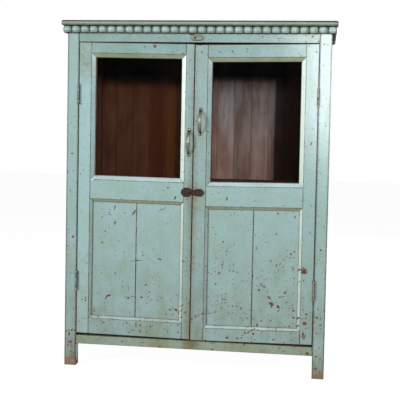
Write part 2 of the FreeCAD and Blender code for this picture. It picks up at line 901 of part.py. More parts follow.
def save_carcass():
    """Write the standing frame, its boards and the fixed hardware."""
    for name, side in SIDES.items():
        save(f"front_{name}_post", [post(side, True)])
        save(f"rear_{name}_post", [post(side, False)])
        for level in side_rails():
            save(f"{name}_side_{level}_rail", [side_rail(side, level)])
        save(f"{name}_side_upper_panel", side_panel(side, "middle", "top"))
        save(f"{name}_side_lower_panel", side_panel(side, "bottom", "middle"))
        save(f"{name}_bead_moulding", [side_moulding(side)])
    for name, (z_ends, depths) in {**front_rails(), **rear_rails()}.items():
        rail = cross_rail(z_ends, depths)
        save(name, [rail.cut(nail_hole()) if name == "front_top_rail" else rail])
    save("back_boards", back_boards())
    save("floor_boards", level_boards(opening_bottom + floor_thickness, floor_thickness))
    save("floor_bearers", bearers(opening_bottom))
    save("shelf_boards", level_boards(shelf_height, shelf_thickness))
    save("shelf_bearers", bearers(shelf_height - shelf_thickness))
    save("top_board", [top_board()])
    save("front_bead_moulding", [front_moulding()])
    save("turn_button", [turn_button()])
    save("turn_button_nail", [turn_button_nail()])


def save_hinges():
    """Write the four butt hinges, with the leaves of each door apart from the frame's."""
    places = [(side, height) for side in SIDES.values() for height in hinge_heights]
    save("frame_hinge_leaves", [hinge_leaf(side, height, 1) for side, height in places])
    save("hinge_pins", [hinge_pin(side, height) for side, height in places])
    for name, side in SIDES.items():
        save(f"{name}_door_hinge_leaves", [hinge_leaf(side, height, -1) for height in hinge_heights])


def save_door(door):
    """Write the pieces of one door."""
    meeting_stile = door.meeting_stile()
    if door.side < 0:
        meeting_stile = meeting_stile.cut(staple_legs(fixed_fit))
    save(f"{door.name}_door_hinge_stile", [door.hinge_stile()])
    save(f"{door.name}_door_meeting_stile", [meeting_stile])
    for name in door.rails():
        save(f"{door.name}_door_{name}", [door.rail(name)])
    save(f"{door.name}_door_glass", [door.glass()])
    save(f"{door.name}_door_glazing_beads", door.glazing_beads())
    save(f"{door.name}_door_panel", door.panel_boards())


def save_hardware():
    """Write the handles, the hasp and the staple."""
    for door, rise in ((LEFT_DOOR, left_handle_rise), (RIGHT_DOOR, right_handle_rise)):
        handle = bow_handle((door.meeting_x + door.near) / 2, hasp_height + rise)
        save(f"{door.name}_handle", [handle])
    save("hasp_leaf", [hasp_leaf()])
    save("hasp_pin", [hasp_pin()])
    save("hasp_strap", [hasp_strap()])
    save("staple_plate", [staple_plate()])
    save("staple", [staple()])


os.makedirs("parts", exist_ok=True)
save_carcass()
save_hinges()
save_door(LEFT_DOOR)
save_door(RIGHT_DOOR)
save_hardware()
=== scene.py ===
"""Looks of a painted two-door cupboard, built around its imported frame.

Lengths are in metres. X runs to the right, Y to the back and Z up, as in the frame.
"""
import logging
import math
from dataclasses import dataclass
from enum import Enum
from functools import cache, cached_property, reduce
from typing import Any, Iterable, Optional, Sequence

import bmesh
import bpy
from mathutils import Color, Matrix, Vector


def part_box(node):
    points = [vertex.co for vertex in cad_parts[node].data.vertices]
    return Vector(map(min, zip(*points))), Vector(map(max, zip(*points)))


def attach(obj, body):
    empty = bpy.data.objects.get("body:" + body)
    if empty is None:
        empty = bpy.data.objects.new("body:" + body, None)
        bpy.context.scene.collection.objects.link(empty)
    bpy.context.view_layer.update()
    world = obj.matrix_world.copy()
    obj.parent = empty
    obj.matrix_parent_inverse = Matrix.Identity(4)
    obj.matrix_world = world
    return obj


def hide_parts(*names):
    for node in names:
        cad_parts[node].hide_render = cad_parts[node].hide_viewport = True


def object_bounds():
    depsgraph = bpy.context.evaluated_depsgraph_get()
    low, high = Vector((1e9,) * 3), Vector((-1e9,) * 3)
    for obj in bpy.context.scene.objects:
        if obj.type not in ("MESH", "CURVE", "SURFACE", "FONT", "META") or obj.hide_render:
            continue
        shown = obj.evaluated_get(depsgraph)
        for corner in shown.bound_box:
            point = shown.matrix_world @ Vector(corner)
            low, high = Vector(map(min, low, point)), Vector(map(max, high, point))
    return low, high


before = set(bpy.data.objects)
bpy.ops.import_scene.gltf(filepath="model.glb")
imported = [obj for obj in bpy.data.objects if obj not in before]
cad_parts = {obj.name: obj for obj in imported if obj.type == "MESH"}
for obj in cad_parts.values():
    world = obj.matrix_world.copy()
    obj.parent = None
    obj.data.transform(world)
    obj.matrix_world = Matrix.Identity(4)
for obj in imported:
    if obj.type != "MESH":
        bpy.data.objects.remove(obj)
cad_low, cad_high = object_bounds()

log = logging.getLogger("cupboard")
Colour = tuple[float, ...]
Socket = Any
Mesh = bmesh.types.BMesh
Material = bpy.types.Material

LEFT, RIGHT = Vector((-1, 0, 0)), Vector((1, 0, 0))
FRONT, BACK = Vector((0, -1, 0)), Vector((0, 1, 0))
UP = Vector((0, 0, 1))

# The highest level of a screen colour, and the millimetres in a metre
FULL_LEVEL, MILLIMETRES = 255, 1000
# How near points are merged, how flat faces are joined, and how sharp an edge is rounded
MERGE_DISTANCE, FLAT_ANGLE, SHARP_ANGLE = 1e-5, math.radians(0.5), math.radians(15)
# The breadth, in widths of the rounding, from which a face can be rounded, and up to which it is a strip
BROAD_FACE, STRIP_FACE = 2.6, 1.8
ROUNDING_STEPS = 2
# A nail head's outline from its crown outwards and back to its axis, in shares of its radius and height
NAIL_PROFILE = ((0.0, 1.0), (0.55, 0.9), (0.9, 0.5), (1.0, -0.3), (0.0, -0.3))
NAIL_SIDES, NAIL_CROWN = 12, 0.0012
# The angles in degrees up to which faces are shaded as one
TOP_SMOOTH, CURVE_SMOOTH, BOW_SMOOTH, NAIL_SMOOTH = 30.0, 40.0, 50.0, 60.0


def srgb(red: int, green: int, blue: int) -> Colour:
    """Return a screen colour of 0 to 255 as the linear colour that sockets take."""
    screen = Color((red / FULL_LEVEL, green / FULL_LEVEL, blue / FULL_LEVEL))
    return (*screen.from_srgb_to_scene_linear(), 1.0)


class Grain(Enum):
    """The way that a piece's grain and its brush strokes run, as the stretch of their pattern."""

    UPRIGHT = (1.0, 1.0, 0.045)
    ACROSS = (0.045, 1.0, 1.0)
    DEEP = (1.0, 0.045, 1.0)


class Hand(Enum):
    """The two doors."""

    LEFT = "left"
    RIGHT = "right"


@dataclass(frozen=True)
class Pattern:
    """A cloudy pattern.

    Attributes:
        scale: Features in a metre.
        detail: How many finer layers it has.
        rough: How strong the finer layers are.
    """

    scale: float
    detail: float = 2.0
    rough: float = 0.5


class Graph:
    """The node tree of a material or a world, written one step at a time."""

    # The ways in which flat coordinates run
    ALONG, UPWARD = (1.0, 1.0, 0.0), (0.0, 0.8, 1.0)
    # The sockets of a Mix node's colours
    MIX_FIRST, MIX_SECOND, MIX_RESULT = 6, 7, 2
    SPOT_RIM, RELIEF_STRENGTH, SHADE_SAMPLES = 0.03, 0.3, 5

    def __init__(self, owner: Any) -> None:
        """Start with an empty tree.

        Args:
            owner: The material or the world.
        """
        owner.use_nodes = True
        self.owner = owner
        self.tree = owner.node_tree
        self.tree.nodes.clear()

    @cached_property
    def coords(self) -> Socket:
        """The place of a point on the piece, the same at every pose."""
        return self.node("ShaderNodeTexCoord").outputs["Object"]

    @cached_property
    def normal(self) -> Socket:
        """The way that the surface faces, the same at every pose."""
        return self.node("ShaderNodeTexCoord").outputs["Normal"]

    def node(self, kind: str, inputs: Optional[dict[Any, Any]] = None, **settings: Any) -> Any:
        """Add a node.

        Args:
            kind: The node's type.
            inputs: Plain values or output sockets for its inputs, by name or number.
            **settings: Its properties.

        Returns:
            The new node.
        """
        node = self.tree.nodes.new(kind)
        for key, value in settings.items():
            setattr(node, key, value)
        for key, value in (inputs or {}).items():
            if isinstance(value, bpy.types.NodeSocket):
                self.tree.links.new(value, node.inputs[key])
            else:
                node.inputs[key].default_value = value
        return node

    def placed(self, vector: Socket, scale: Sequence[float]) -> Socket:
        """Return stretched coordinates."""
        return self.node("ShaderNodeMapping", {"Vector": vector, "Scale": scale}).outputs[0]

    def turned(self, vector: Socket, degrees: float, axis: str) -> Socket:
        """Return coordinates turned about an axis."""
        inputs = {"Vector": vector, "Angle": math.radians(degrees)}
        return self.node("ShaderNodeVectorRotate", inputs, rotation_type=axis).outputs[0]

    def noise(self, vector: Socket, pattern: Pattern, output: str = "Fac") -> Socket:
        """Return the value of a cloudy pattern, about 0.5."""
        return self.node("ShaderNodeTexNoise", {
            "Vector": vector, "Scale": pattern.scale, "Detail": pattern.detail,
            "Roughness": pattern.rough}).outputs[output]

    def math(self, kind: str, first: Any, second: Any = 0.0, clamp: bool = False) -> Socket:
        """Return a sum, product or the like of two values, kept within 0 and 1 where it is clamped."""
        return self.node("ShaderNodeMath", {0: first, 1: second}, operation=kind, use_clamp=clamp).outputs[0]

    def plus(self, first: Any, second: Any) -> Socket:
        """Return the sum of two values."""
        return self.math("ADD", first, second)

    def times(self, first: Any, second: Any) -> Socket:
        """Return the product of two values."""
        return self.math("MULTIPLY", first, second)

    def most(self, *values: Socket) -> Socket:
        """Return the largest of several values."""
        return reduce(lambda first, second: self.math("MAXIMUM", first, second), values)

    def vector(self, kind: str, first: Any, second: Any = (0.0, 0.0, 0.0)) -> Socket:
        """Return a sum, product or measure of two vectors."""
        node = self.node("ShaderNodeVectorMath", {0: first, 1: second}, operation=kind)
        return node.outputs["Value" if kind in ("DOT_PRODUCT", "LENGTH") else "Vector"]

    def part(self, vector: Socket, axis: str) -> Socket:
        """Return one part of a vector."""
        return self.node("ShaderNodeSeparateXYZ", {0: vector}).outputs[axis]

    def span(self, value: Socket, start: float, end: float, low: float = 0.0, high: float = 1.0) -> Socket:
        """Return a value spread smoothly from one range, start to end, over another, low to high."""
        inputs = {"Value": value, "From Min": start, "From Max": end, "To Min": low, "To Max": high}
        return self.node("ShaderNodeMapRange", inputs, interpolation_type="SMOOTHSTEP").outputs[0]

    def blend(self, factor: Any, first: Any, second: Any) -> Socket:
        """Return a mix of two colours, where the factor is the share of the second."""
        inputs = {0: factor, self.MIX_FIRST: first, self.MIX_SECOND: second}
        return self.node("ShaderNodeMix", inputs, data_type="RGBA").outputs[self.MIX_RESULT]

    def unrolled(self, vector: Socket, turn: float = 0.0, stretch: float = 1.0) -> Socket:
        """Return flat coordinates that run along the front, the sides and the top alike.

        Args:
            vector: The coordinates in space.
            turn: The turn of the flat pattern in degrees.
            stretch: The factor on its second axis.

        Returns:
            The flat coordinates.
        """
        across, up = (self.vector("DOT_PRODUCT", vector, way) for way in (self.ALONG, self.UPWARD))
        sheet = self.node("ShaderNodeCombineXYZ", {0: across, 1: up}).outputs[0]
        if turn:
            sheet = self.turned(sheet, turn, "Z_AXIS")
        return self.placed(sheet, (1.0, stretch, 1.0))

    def spots(self, sheet: Socket, scale: float, radius: float, share: float, crowd: Socket) -> Socket:
        """Return scattered spots of many sizes.

        Args:
            sheet: Flat coordinates.
            scale: Places for a spot in a metre.
            radius: The largest spot as a share of its place.
            share: The share of the places that hold one.
            crowd: Where they lie closer, from 0 to 1.

        Returns:
            1 in a spot and 0 outside.
        """
        cells = self.node("ShaderNodeTexVoronoi", {"Vector": sheet, "Scale": scale}, voronoi_dimensions="2D")
        luck = self.node("ShaderNodeSeparateColor", {0: cells.outputs["Color"]}).outputs[0]
        luck = self.plus(luck, self.times(crowd, share))
        size = self.times(self.math("SUBTRACT", luck, 1.0, clamp=True), radius / share)
        return self.span(self.math("SUBTRACT", size, cells.outputs["Distance"]), 0.0, self.SPOT_RIM)

    def shade(self, reach: float) -> Socket:
        """Return how open a place is, 0 deep in a corner and 1 in the open."""
        node = self.node("ShaderNodeAmbientOcclusion", {"Distance": reach}, samples=self.SHADE_SAMPLES)
        return node.outputs["AO"]

    def seen(self) -> Socket:
        """Return 1 where a thing is looked at, and 0 where it only throws light."""
        light = self.node("ShaderNodeLightPath")
        return self.most(*(light.outputs[f"Is {kind} Ray"] for kind in ("Camera", "Glossy", "Transmission")))

    def solid(self, colour: Socket, rough: Socket, height: Socket, relief: float, shine: float,
              metal: float = 0.0) -> Material:
        """Finish a material that can't be seen through.

        Args:
            colour: Its colour.
            rough: Its roughness.
            height: The height of its relief.
            relief: The depth of the relief.
            shine: Strength of its reflections.
            metal: How metallic it is.

        Returns:
            The material.
        """
        bump = self.node("ShaderNodeBump", {
            "Height": height, "Strength": self.RELIEF_STRENGTH, "Distance": relief})
        return self.finish(self.node("ShaderNodeBsdfPrincipled", {
            "Base Color": colour, "Metallic": metal, "Roughness": rough, "Specular IOR Level": shine,
            "Normal": bump.outputs[0]}))

    def finish(self, shader: Any) -> Any:
        """Give the tree its surface.

        Args:
            shader: The node that makes it.

        Returns:
            The material or the world.
        """
        kind = "World" if isinstance(self.owner, bpy.types.World) else "Material"
        output = self.node(f"ShaderNodeOutput{kind}")
        self.tree.links.new(shader.outputs[0], output.inputs["Surface"])
        return self.owner


@dataclass(frozen=True)
class Mark:
    """A place on the front where the paint is knocked off or stained.

    Attributes:
        x: Place across.
        z: Height.
        width: Half its width.
        height: Half its height.
        tilt: Its turn in degrees.
    """

    # The depth of the front's faces, and how far from it a mark still shows
    DEPTH, REACH = -0.19, 0.03

    x: float
    z: float
    width: float
    height: float
    tilt: float = 0.0

    def distance(self, g: Graph, vector: Socket) -> Socket:
        """Return how far a point lies from the middle, as a share of the way to the rim.

        Args:
            g: The material's graph.
            vector: The coordinates of the point.

        Returns:
            The share.
        """
        place = g.node("ShaderNodeMapping", {
            "Vector": vector, "Location": (self.x, self.DEPTH, self.z),
            "Rotation": (0.0, math.radians(self.tilt), 0.0),
            "Scale": (self.width, self.REACH, self.height)}, vector_type="TEXTURE").outputs[0]
        return g.vector("LENGTH", place)


def ovals(*rows: Sequence[float]) -> tuple[Mark, ...]:
    """Return marks from rows of x, z, width and height in millimetres, and of the tilt where there is one."""
    return tuple(Mark(*(length / MILLIMETRES for length in row[:4]), *row[4:]) for row in rows)


@dataclass(frozen=True)
class Paint:
    """Old brushed paint over brown wood, with chips, worn edges, dirt, and painted shade in corners, in
    joints and on faces that look down.

    The constants are its patterns, and the ranges of a value in which each of its layers shows.

    Attributes:
        name: The material's name.
        grain: The way of the brush strokes.
        fresh: Colour where it is clean.
        clean: Colour of its palest specks.
        aged: Colour where it has yellowed.
        dirt: Colour of the dirt, and of the painted shade in corners and on faces that look down.
        grime: Colour of the dark strips along the edges and of the specks, and of the painted shade deep in
            joints.
        wood: Colour of the bare wood.
        dark_wood: Colour of dirty bare wood.
        foot_wood: Colour of the scuffed wood at the floor.
        soil: How dirty it is.
        chips: How many chips there are.
        wear: How far the edges are worn.
        rim: Width of the dark strips along the edges.
        rim_dirt: How dark those strips are.
        crown: How dark the faces that look up are.
        under: How dark the faces that look down are painted: painted shade, with some dirt.
        nook: How far the dirt and painted shade of corners reach.
        gloss: Roughness of the paint.
        shine: Strength of its reflections.
        scuff: The height up to which the floor has scuffed it.
        marks: Single larger chips.
        smudges: Soft dark patches: stains left by hands and drips, and in places painted shade.
    """

    STROKES, TIMBER, RAGGED = Pattern(210.0, 3.0, 0.6), Pattern(120.0, 3.0), Pattern(60.0, 4.0)
    CLOUDS, MOTTLE = Pattern(9.0, 6.0, 0.66), Pattern(120.0, 4.0, 0.7)
    STAINS, PATCHES = Pattern(17.0, 5.0, 0.66), Pattern(46.0, 4.0, 0.65)
    WOBBLE, CROWDS, WORN = Pattern(110.0, 4.0), Pattern(7.0), Pattern(44.0, 5.0, 0.7)
    STAIN_STRETCH = (1.0, 1.0, 0.5)

    LOW_DOWN = (0.85, 0.0)
    PALE_TIMBER = (0.38, 0.7)
    SCUFF_RAGGED, SCUFF_FADE, SCUFF_STREAKS = (0.3, 0.7, -0.02, 0.02), 0.4, (0.4, 0.7, 0.0, 0.45)
    BARE_ROUGH, STROKE_ROUGH = 0.8, (0.3, 0.7, -0.04, 0.06)
    STROKE_HEIGHT, RELIEF = 0.3, 0.0006
    YELLOWED, DARK_MOTTLE, PALE_MOTTLE = (0.34, 0.68), (0.5, 0.72, 0.0, 0.16), (0.5, 0.3, 0.0, 0.2)
    DIRTY_STROKES = (0.45, 0.75, 0.0, 0.08)
    HIGH_SOIL, SOIL_STAINS = 0.15, (0.35, 0.7, 0.35, 1.0)
    LOOKS_DOWN, UNDER_PATCHES, UNDER_LEAST = (-0.12, -0.4), (0.2, 0.62), 0.44
    CORNER, CORNER_PATCHES, JOINT = (0.85, 0.3), (0.25, 0.6, 0.25, 0.7), (0.4, 0.15, 0.0, 0.85)
    SPECKS, SPECK_TURN, SPECK_CROWD, SPECK_SHARE = (70.0, 0.3), 20.0, (0.35, 0.7, 0.2, 0.9), 0.8
    SMUDGE, SMUDGE_PATCHES = (1.0, 0.1), (0.2, 0.7, 0.15, 0.55)
    LOOKS_UP, CROWN_STAINS = (0.0, 0.34), (0.2, 0.6, 0.7, 1.0)
    RIM_PATCHES, RIM_RANGE = (0.3, 0.6), 0.5
    PUSH, CENTRE = (0.015, 0.015, 0.015), (-0.5, -0.5, -0.5)
    LOW_CROWD, CROWD = 0.45, (0.4, 0.68, 0.25, 0.75)
    CHIPS, FINE_CHIPS, FINE_SHARE = (23.0, 0.13), (62.0, 0.33), 1.4
    SCRATCHES, SCRATCH_TURN, SCRATCH_STRETCH = (30.0, 0.1), 40.0, 0.22
    MARK, WORN_THROUGH, WORN_MIDDLE = (1.0, 0.85), (0.5, 0.6), 0.5
    BENT, BEND_SAMPLES = (0.9985, 0.975), 4

    name: str
    grain: Grain
    fresh: Colour = srgb(156, 188, 190)
    clean: Colour = srgb(182, 210, 212)
    aged: Colour = srgb(149, 180, 172)
    dirt: Colour = srgb(108, 103, 60)
    grime: Colour = srgb(74, 76, 62)
    wood: Colour = srgb(140, 88, 64)
    dark_wood: Colour = srgb(70, 48, 38)
    foot_wood: Colour = srgb(134, 110, 90)
    soil: float = 0.45
    chips: float = 0.28
    wear: float = 0.53
    rim: float = 0.0036
    rim_dirt: float = 0.85
    crown: float = 0.0
    under: float = 0.8
    nook: float = 0.028
    gloss: float = 0.21
    shine: float = 0.5
    scuff: float = 0.0
    marks: tuple[Mark, ...] = ()
    smudges: tuple[Mark, ...] = ()

    def material(self) -> Material:
        """Make the paint.

        Returns:
            The material.
        """
        g = Graph(bpy.data.materials.new(self.name))
        height = g.part(g.coords, "Z")
        low = g.span(height, *self.LOW_DOWN)
        strokes = g.noise(g.placed(g.coords, self.grain.value), self.STROKES)
        edge = self.edge(g)
        bare = self.bare(g, low, edge)
        colour = self.soiled(g, self.brushed(g, strokes), low, edge)
        timber = g.blend(g.span(g.noise(g.coords, self.TIMBER), *self.PALE_TIMBER), self.dark_wood, self.wood)
        if self.scuff:
            ragged = g.plus(height, g.span(g.noise(g.coords, self.RAGGED), *self.SCUFF_RAGGED))
            foot = g.span(ragged, self.scuff, self.scuff * self.SCUFF_FADE)
            scuffed = g.blend(g.span(strokes, *self.SCUFF_STREAKS), self.foot_wood, self.wood)
            timber = g.blend(foot, timber, scuffed)
            bare = g.most(bare, foot)
        colour = g.blend(bare, colour, timber)
        rough = g.span(bare, 0.0, 1.0, self.gloss, self.BARE_ROUGH)
        rough = g.plus(rough, g.span(strokes, *self.STROKE_ROUGH))
        relief = g.math("SUBTRACT", g.times(strokes, self.STROKE_HEIGHT), bare)
        return g.solid(colour, rough, relief, self.RELIEF, self.shine)

    def brushed(self, g: Graph, strokes: Socket) -> Socket:
        """Return the colour of the clean paint with its yellowed clouds and brush strokes.

        Args:
            g: The material's graph.
            strokes: The pattern of the brush strokes.

        Returns:
            The colour.
        """
        colour = g.blend(g.span(g.noise(g.coords, self.CLOUDS), *self.YELLOWED), self.fresh, self.aged)
        mottle = g.noise(g.coords, self.MOTTLE)
        colour = g.blend(g.span(mottle, *self.DARK_MOTTLE), colour, self.dirt)
        colour = g.blend(g.span(mottle, *self.PALE_MOTTLE), colour, self.clean)
        return g.blend(g.span(strokes, *self.DIRTY_STROKES), colour, self.dirt)

    def soiled(self, g: Graph, colour: Socket, low: Socket, edge: Socket) -> Socket:
        """Return the paint's colour with its dirt and its painted shade.

        Args:
            g: The material's graph.
            colour: The colour of the clean paint.
            low: 1 at the floor and 0 half way up.
            edge: 1 along the edges.

        Returns:
            The dirty colour.
        """
        stains = g.noise(g.placed(g.coords, self.STAIN_STRETCH), self.STAINS)
        amount = g.times(g.plus(low, self.HIGH_SOIL), g.span(stains, *self.SOIL_STAINS))
        colour = g.blend(g.times(amount, self.soil), colour, self.dirt)
        # Faces that look down are darkened: painted shade, with some dirt.
        slope = g.part(g.node("ShaderNodeNewGeometry").outputs["Normal"], "Z")
        patchy = g.noise(g.coords, self.PATCHES)
        under = g.span(patchy, *self.UNDER_PATCHES, self.under * self.UNDER_LEAST, self.under)
        colour = g.blend(g.times(g.span(slope, *self.LOOKS_DOWN), under), colour, self.dirt)
        # Corners and deep joints are darkened by how open they are: dirt and painted shade.
        shade = g.shade(self.nook)
        corner = g.times(g.span(shade, *self.CORNER), g.span(patchy, *self.CORNER_PATCHES))
        colour = g.blend(corner, colour, self.dirt)
        colour = g.blend(g.span(shade, *self.JOINT), colour, self.grime)
        crowd = g.span(patchy, *self.SPECK_CROWD)
        specks = g.spots(g.unrolled(g.coords, self.SPECK_TURN), *self.SPECKS, self.chips, crowd)
        colour = g.blend(g.times(specks, self.SPECK_SHARE), colour, self.grime)
        for smudge in self.smudges:
            soft = g.span(smudge.distance(g, g.coords), *self.SMUDGE)
            colour = g.blend(g.times(soft, g.span(patchy, *self.SMUDGE_PATCHES)), colour, self.dirt)
        if self.crown:
            above = g.times(g.span(slope, *self.LOOKS_UP), g.span(stains, *self.CROWN_STAINS))
            colour = g.blend(g.times(above, self.crown), colour, self.dark_wood)
        # Strips along the edges are darkened.
        rim = g.span(patchy, *self.RIM_PATCHES, self.rim_dirt - self.RIM_RANGE, self.rim_dirt)
        return g.blend(g.times(edge, rim), colour, self.grime)

    def bare(self, g: Graph, low: Socket, edge: Socket) -> Socket:
        """Return where the paint is gone.

        Args:
            g: The material's graph.
            low: 1 at the floor and 0 half way up.
            edge: 1 along the edges.

        Returns:
            1 on bare wood and 0 on paint.
        """
        wobble = g.vector("ADD", g.noise(g.coords, self.WOBBLE, "Color"), self.CENTRE)
        warped = g.vector("ADD", g.coords, g.vector("MULTIPLY", wobble, self.PUSH))
        sheet = g.unrolled(warped)
        crowd = g.plus(g.times(low, self.LOW_CROWD), g.span(g.noise(g.coords, self.CROWDS), *self.CROWD))
        turned = g.unrolled(warped, self.SCRATCH_TURN, self.SCRATCH_STRETCH)
        layers = [g.spots(sheet, *self.CHIPS, self.chips, crowd),
                  g.spots(turned, *self.SCRATCHES, self.chips, crowd),
                  g.spots(sheet, *self.FINE_CHIPS, self.chips * self.FINE_SHARE, crowd)]
        layers += [g.span(mark.distance(g, warped), *self.MARK) for mark in self.marks]
        luck = g.plus(g.noise(g.coords, self.WORN), self.wear - self.WORN_MIDDLE)
        return g.most(*layers, g.times(edge, g.span(luck, *self.WORN_THROUGH)))

    def edge(self, g: Graph) -> Socket:
        """Return the strips along the edges, from their rounding and from the bend of the surface.

        Args:
            g: The material's graph.

        Returns:
            1 along the edges and 0 elsewhere.
        """
        bent = g.node("ShaderNodeBevel", {"Radius": self.rim}, samples=self.BEND_SAMPLES).outputs[0]
        flat = g.node("ShaderNodeNewGeometry").outputs["True Normal"]
        strip = g.node("ShaderNodeAttribute", attribute_name="edge").outputs["Fac"]
        return g.most(g.span(g.vector("DOT_PRODUCT", bent, flat), *self.BENT), strip)


@dataclass(frozen=True)
class RawBoards:
    """Unpainted brown boards, each with a tone of its own.

    The constants are its patterns, and the ranges of a value or a place in which each layer shows.

    Attributes:
        name: The material's name.
        grain: The way of the grain.
        pitch: Width of a board on each axis, or 0 where there are no joints.
        pale: Colour of the palest board.
        deep: Colour of the darkest board.
        dust: Colour of the dust, and of the painted sheen behind the right door.
        dusty: How much dust there is.
        bloom: How strong the painted sheen is behind the right door.
        amber: Colour of the streak behind the left door.
        ember: Colour of the dark board beside it.
        soot: Colour of the painted shadow at the top of the boards and at their right.
    """

    FIBRE, FIGURE, CLOUD = Pattern(190.0, 4.0, 0.65), Pattern(34.0, 3.0, 0.6), Pattern(15.0, 5.0, 0.65)
    CLOUD_STRETCH, CENTRE = (1.0, 1.0, 0.35), (0.5, 0.5, 0.5)
    BOARD_TONE, FIGURE_TONE, CLOUD_TONE, TONES = 0.4, 0.3, 0.5, (0.3, 0.9)
    DARK_FIBRE, FIBRE_SHARE = (0.5, 0.75), 0.5
    FIGURE_FILM, FILM = 0.5, (0.55, 1.0, 0.35, 1.0)
    FIBRE_ROUGH, RELIEF, SHINE = (0.3, 0.7, 0.5, 0.75), 0.0008, 0.01
    BLOOM_LEFT, BLOOM_RIGHT = (-0.04, 0.08, 0.0), (0.44, 0.3)
    BLOOM_HEIGHT, BLOOM_BOARDS = (0.9, 1.25, 0.42, 1.0), (0.1, 0.9, 0.55, 1.1)
    EMBER_BAND, AMBER_BAND, BAND_SHARE = (-0.32, -0.212, 0.035), (-0.222, -0.16, 0.02), 0.6
    VEIL_HEIGHT, VEIL_SIDE = (1.02, 1.4), (-0.1, 0.05, 0.0, 0.53)
    SOOT_HEIGHT, SOOT_SIDE, SOOT_SHARE = (1.3, 1.39), (0.322, 0.336, 0.0, 0.88), 0.97

    name: str
    grain: Grain
    pitch: tuple[float, float, float] = (0.0, 0.0, 0.0)
    pale: Colour = srgb(146, 82, 51)
    deep: Colour = srgb(88, 45, 27)
    dust: Colour = srgb(172, 168, 176)
    dusty: float = 0.05
    bloom: float = 0.0
    amber: Colour = srgb(176, 98, 44)
    ember: Colour = srgb(84, 26, 6)
    soot: Colour = srgb(20, 9, 6)

    def material(self) -> Material:
        """Make the boards' finish.

        Returns:
            The material.
        """
        g = Graph(bpy.data.materials.new(self.name))
        steps = tuple(1.0 / width if width else 0.0 for width in self.pitch)
        rows = g.vector("ADD", g.placed(g.coords, steps), self.CENTRE)
        luck = g.node("ShaderNodeTexWhiteNoise", {"Vector": g.vector("FLOOR", rows)})
        shifted = g.vector("ADD", g.coords, luck.outputs["Color"])
        stretched = g.placed(shifted, self.grain.value)
        fibre, figure = g.noise(stretched, self.FIBRE), g.noise(stretched, self.FIGURE)
        cloud = g.noise(g.placed(shifted, self.CLOUD_STRETCH), self.CLOUD)
        tone = g.plus(g.times(luck.outputs["Value"], self.BOARD_TONE), g.times(figure, self.FIGURE_TONE))
        tone = g.plus(tone, g.times(cloud, self.CLOUD_TONE))
        colour = g.blend(g.span(tone, *self.TONES), self.deep, self.pale)
        colour = g.blend(g.times(g.span(fibre, *self.DARK_FIBRE), self.FIBRE_SHARE), colour, self.deep)
        film = g.span(g.plus(cloud, g.times(figure, self.FIGURE_FILM)), *self.FILM)
        colour = g.blend(g.times(film, self.dusty), colour, self.dust)
        if self.bloom:
            colour = self.varnished(g, colour, film, luck.outputs["Value"])
        return g.solid(colour, g.span(fibre, *self.FIBRE_ROUGH), fibre, self.RELIEF, self.SHINE)

    def varnished(self, g: Graph, colour: Socket, film: Socket, luck: Socket) -> Socket:
        """Return the boards' colour with the painted sheen, the streaks and the painted shadow behind the
        panes.

        Args:
            g: The material's graph.
            colour: The colour of the boards.
            film: Where the dust lies.
            luck: A value of its own for each board.

        Returns:
            The colour with its painted sheen and painted shadow.
        """
        x, z = g.part(g.coords, "X"), g.part(g.coords, "Z")
        # A pale patch behind the right pane: painted sheen.
        patch = g.times(g.span(x, *self.BLOOM_LEFT, self.bloom), g.span(x, *self.BLOOM_RIGHT))
        patch = g.times(patch, g.span(z, *self.BLOOM_HEIGHT))
        patch = g.times(patch, g.span(luck, *self.BLOOM_BOARDS))
        colour = g.blend(g.times(patch, film), colour, self.dust)
        for tint, (left, right, soft) in ((self.ember, self.EMBER_BAND), (self.amber, self.AMBER_BAND)):
            band = g.times(g.span(x, left, left + soft), g.span(x, right, right - soft))
            colour = g.blend(g.times(band, self.BAND_SHARE), colour, tint)
        # The boards are darkened at the top, towards the top on their right half, and at their right edge:
        # painted shadow.
        veil = g.times(g.span(z, *self.VEIL_HEIGHT), g.span(x, *self.VEIL_SIDE))
        stain = g.most(g.span(z, *self.SOOT_HEIGHT), veil, g.span(x, *self.SOOT_SIDE))
        return g.blend(g.times(stain, self.SOOT_SHARE), colour, self.soot)


@dataclass(frozen=True)
class Metal:
    """Old metal with a patina that gathers in patches and in corners, and painted shade on its sides.

    Attributes:
        name: The material's name.
        bright: Colour where it is rubbed.
        dull: Colour of the patina, and of the painted shade on the sides.
        gloss: Roughness where it is rubbed.
        matt: Roughness of the patina.
        cover: How much patina there is.
        size: Patches in a metre.
        metal: How metallic it is.
        shine: Strength of its reflections where it is not metallic.
    """

    PATCH_LAYERS, GRAIN_LAYERS, GRAIN_SCALE = (5.0, 0.65), (3.0, 0.6), 6.0
    PATCH_START, PATCH_END, COVER_RANGE = 0.72, 0.92, 0.6
    NOOK, CORNER, SIDE = 0.02, (0.85, 0.35), (0.95, 0.7)
    HEIGHT, RELIEF = 0.5, 0.0005

    name: str
    bright: Colour
    dull: Colour
    gloss: float
    matt: float
    cover: float
    size: float
    metal: float
    shine: float = 0.5

    def material(self) -> Material:
        """Make the metal.

        Returns:
            The material.
        """
        g = Graph(bpy.data.materials.new(self.name))
        patches = g.noise(g.coords, Pattern(self.size, *self.PATCH_LAYERS))
        cover = self.cover * self.COVER_RANGE
        # Faces that look sideways rather than to the front or back are darkened: painted shade.
        facing = g.math("ABSOLUTE", g.part(g.normal, "Y"))
        film = g.most(g.span(patches, self.PATCH_START - cover, self.PATCH_END - cover),
                      g.span(g.shade(self.NOOK), *self.CORNER), g.span(facing, *self.SIDE))
        grain = g.noise(g.coords, Pattern(self.size * self.GRAIN_SCALE, *self.GRAIN_LAYERS))
        height = g.plus(g.times(film, self.HEIGHT), g.times(grain, self.HEIGHT))
        return g.solid(g.blend(film, self.bright, self.dull), g.span(film, 0.0, 1.0, self.gloss, self.matt),
                       height, self.RELIEF, self.shine, self.metal)


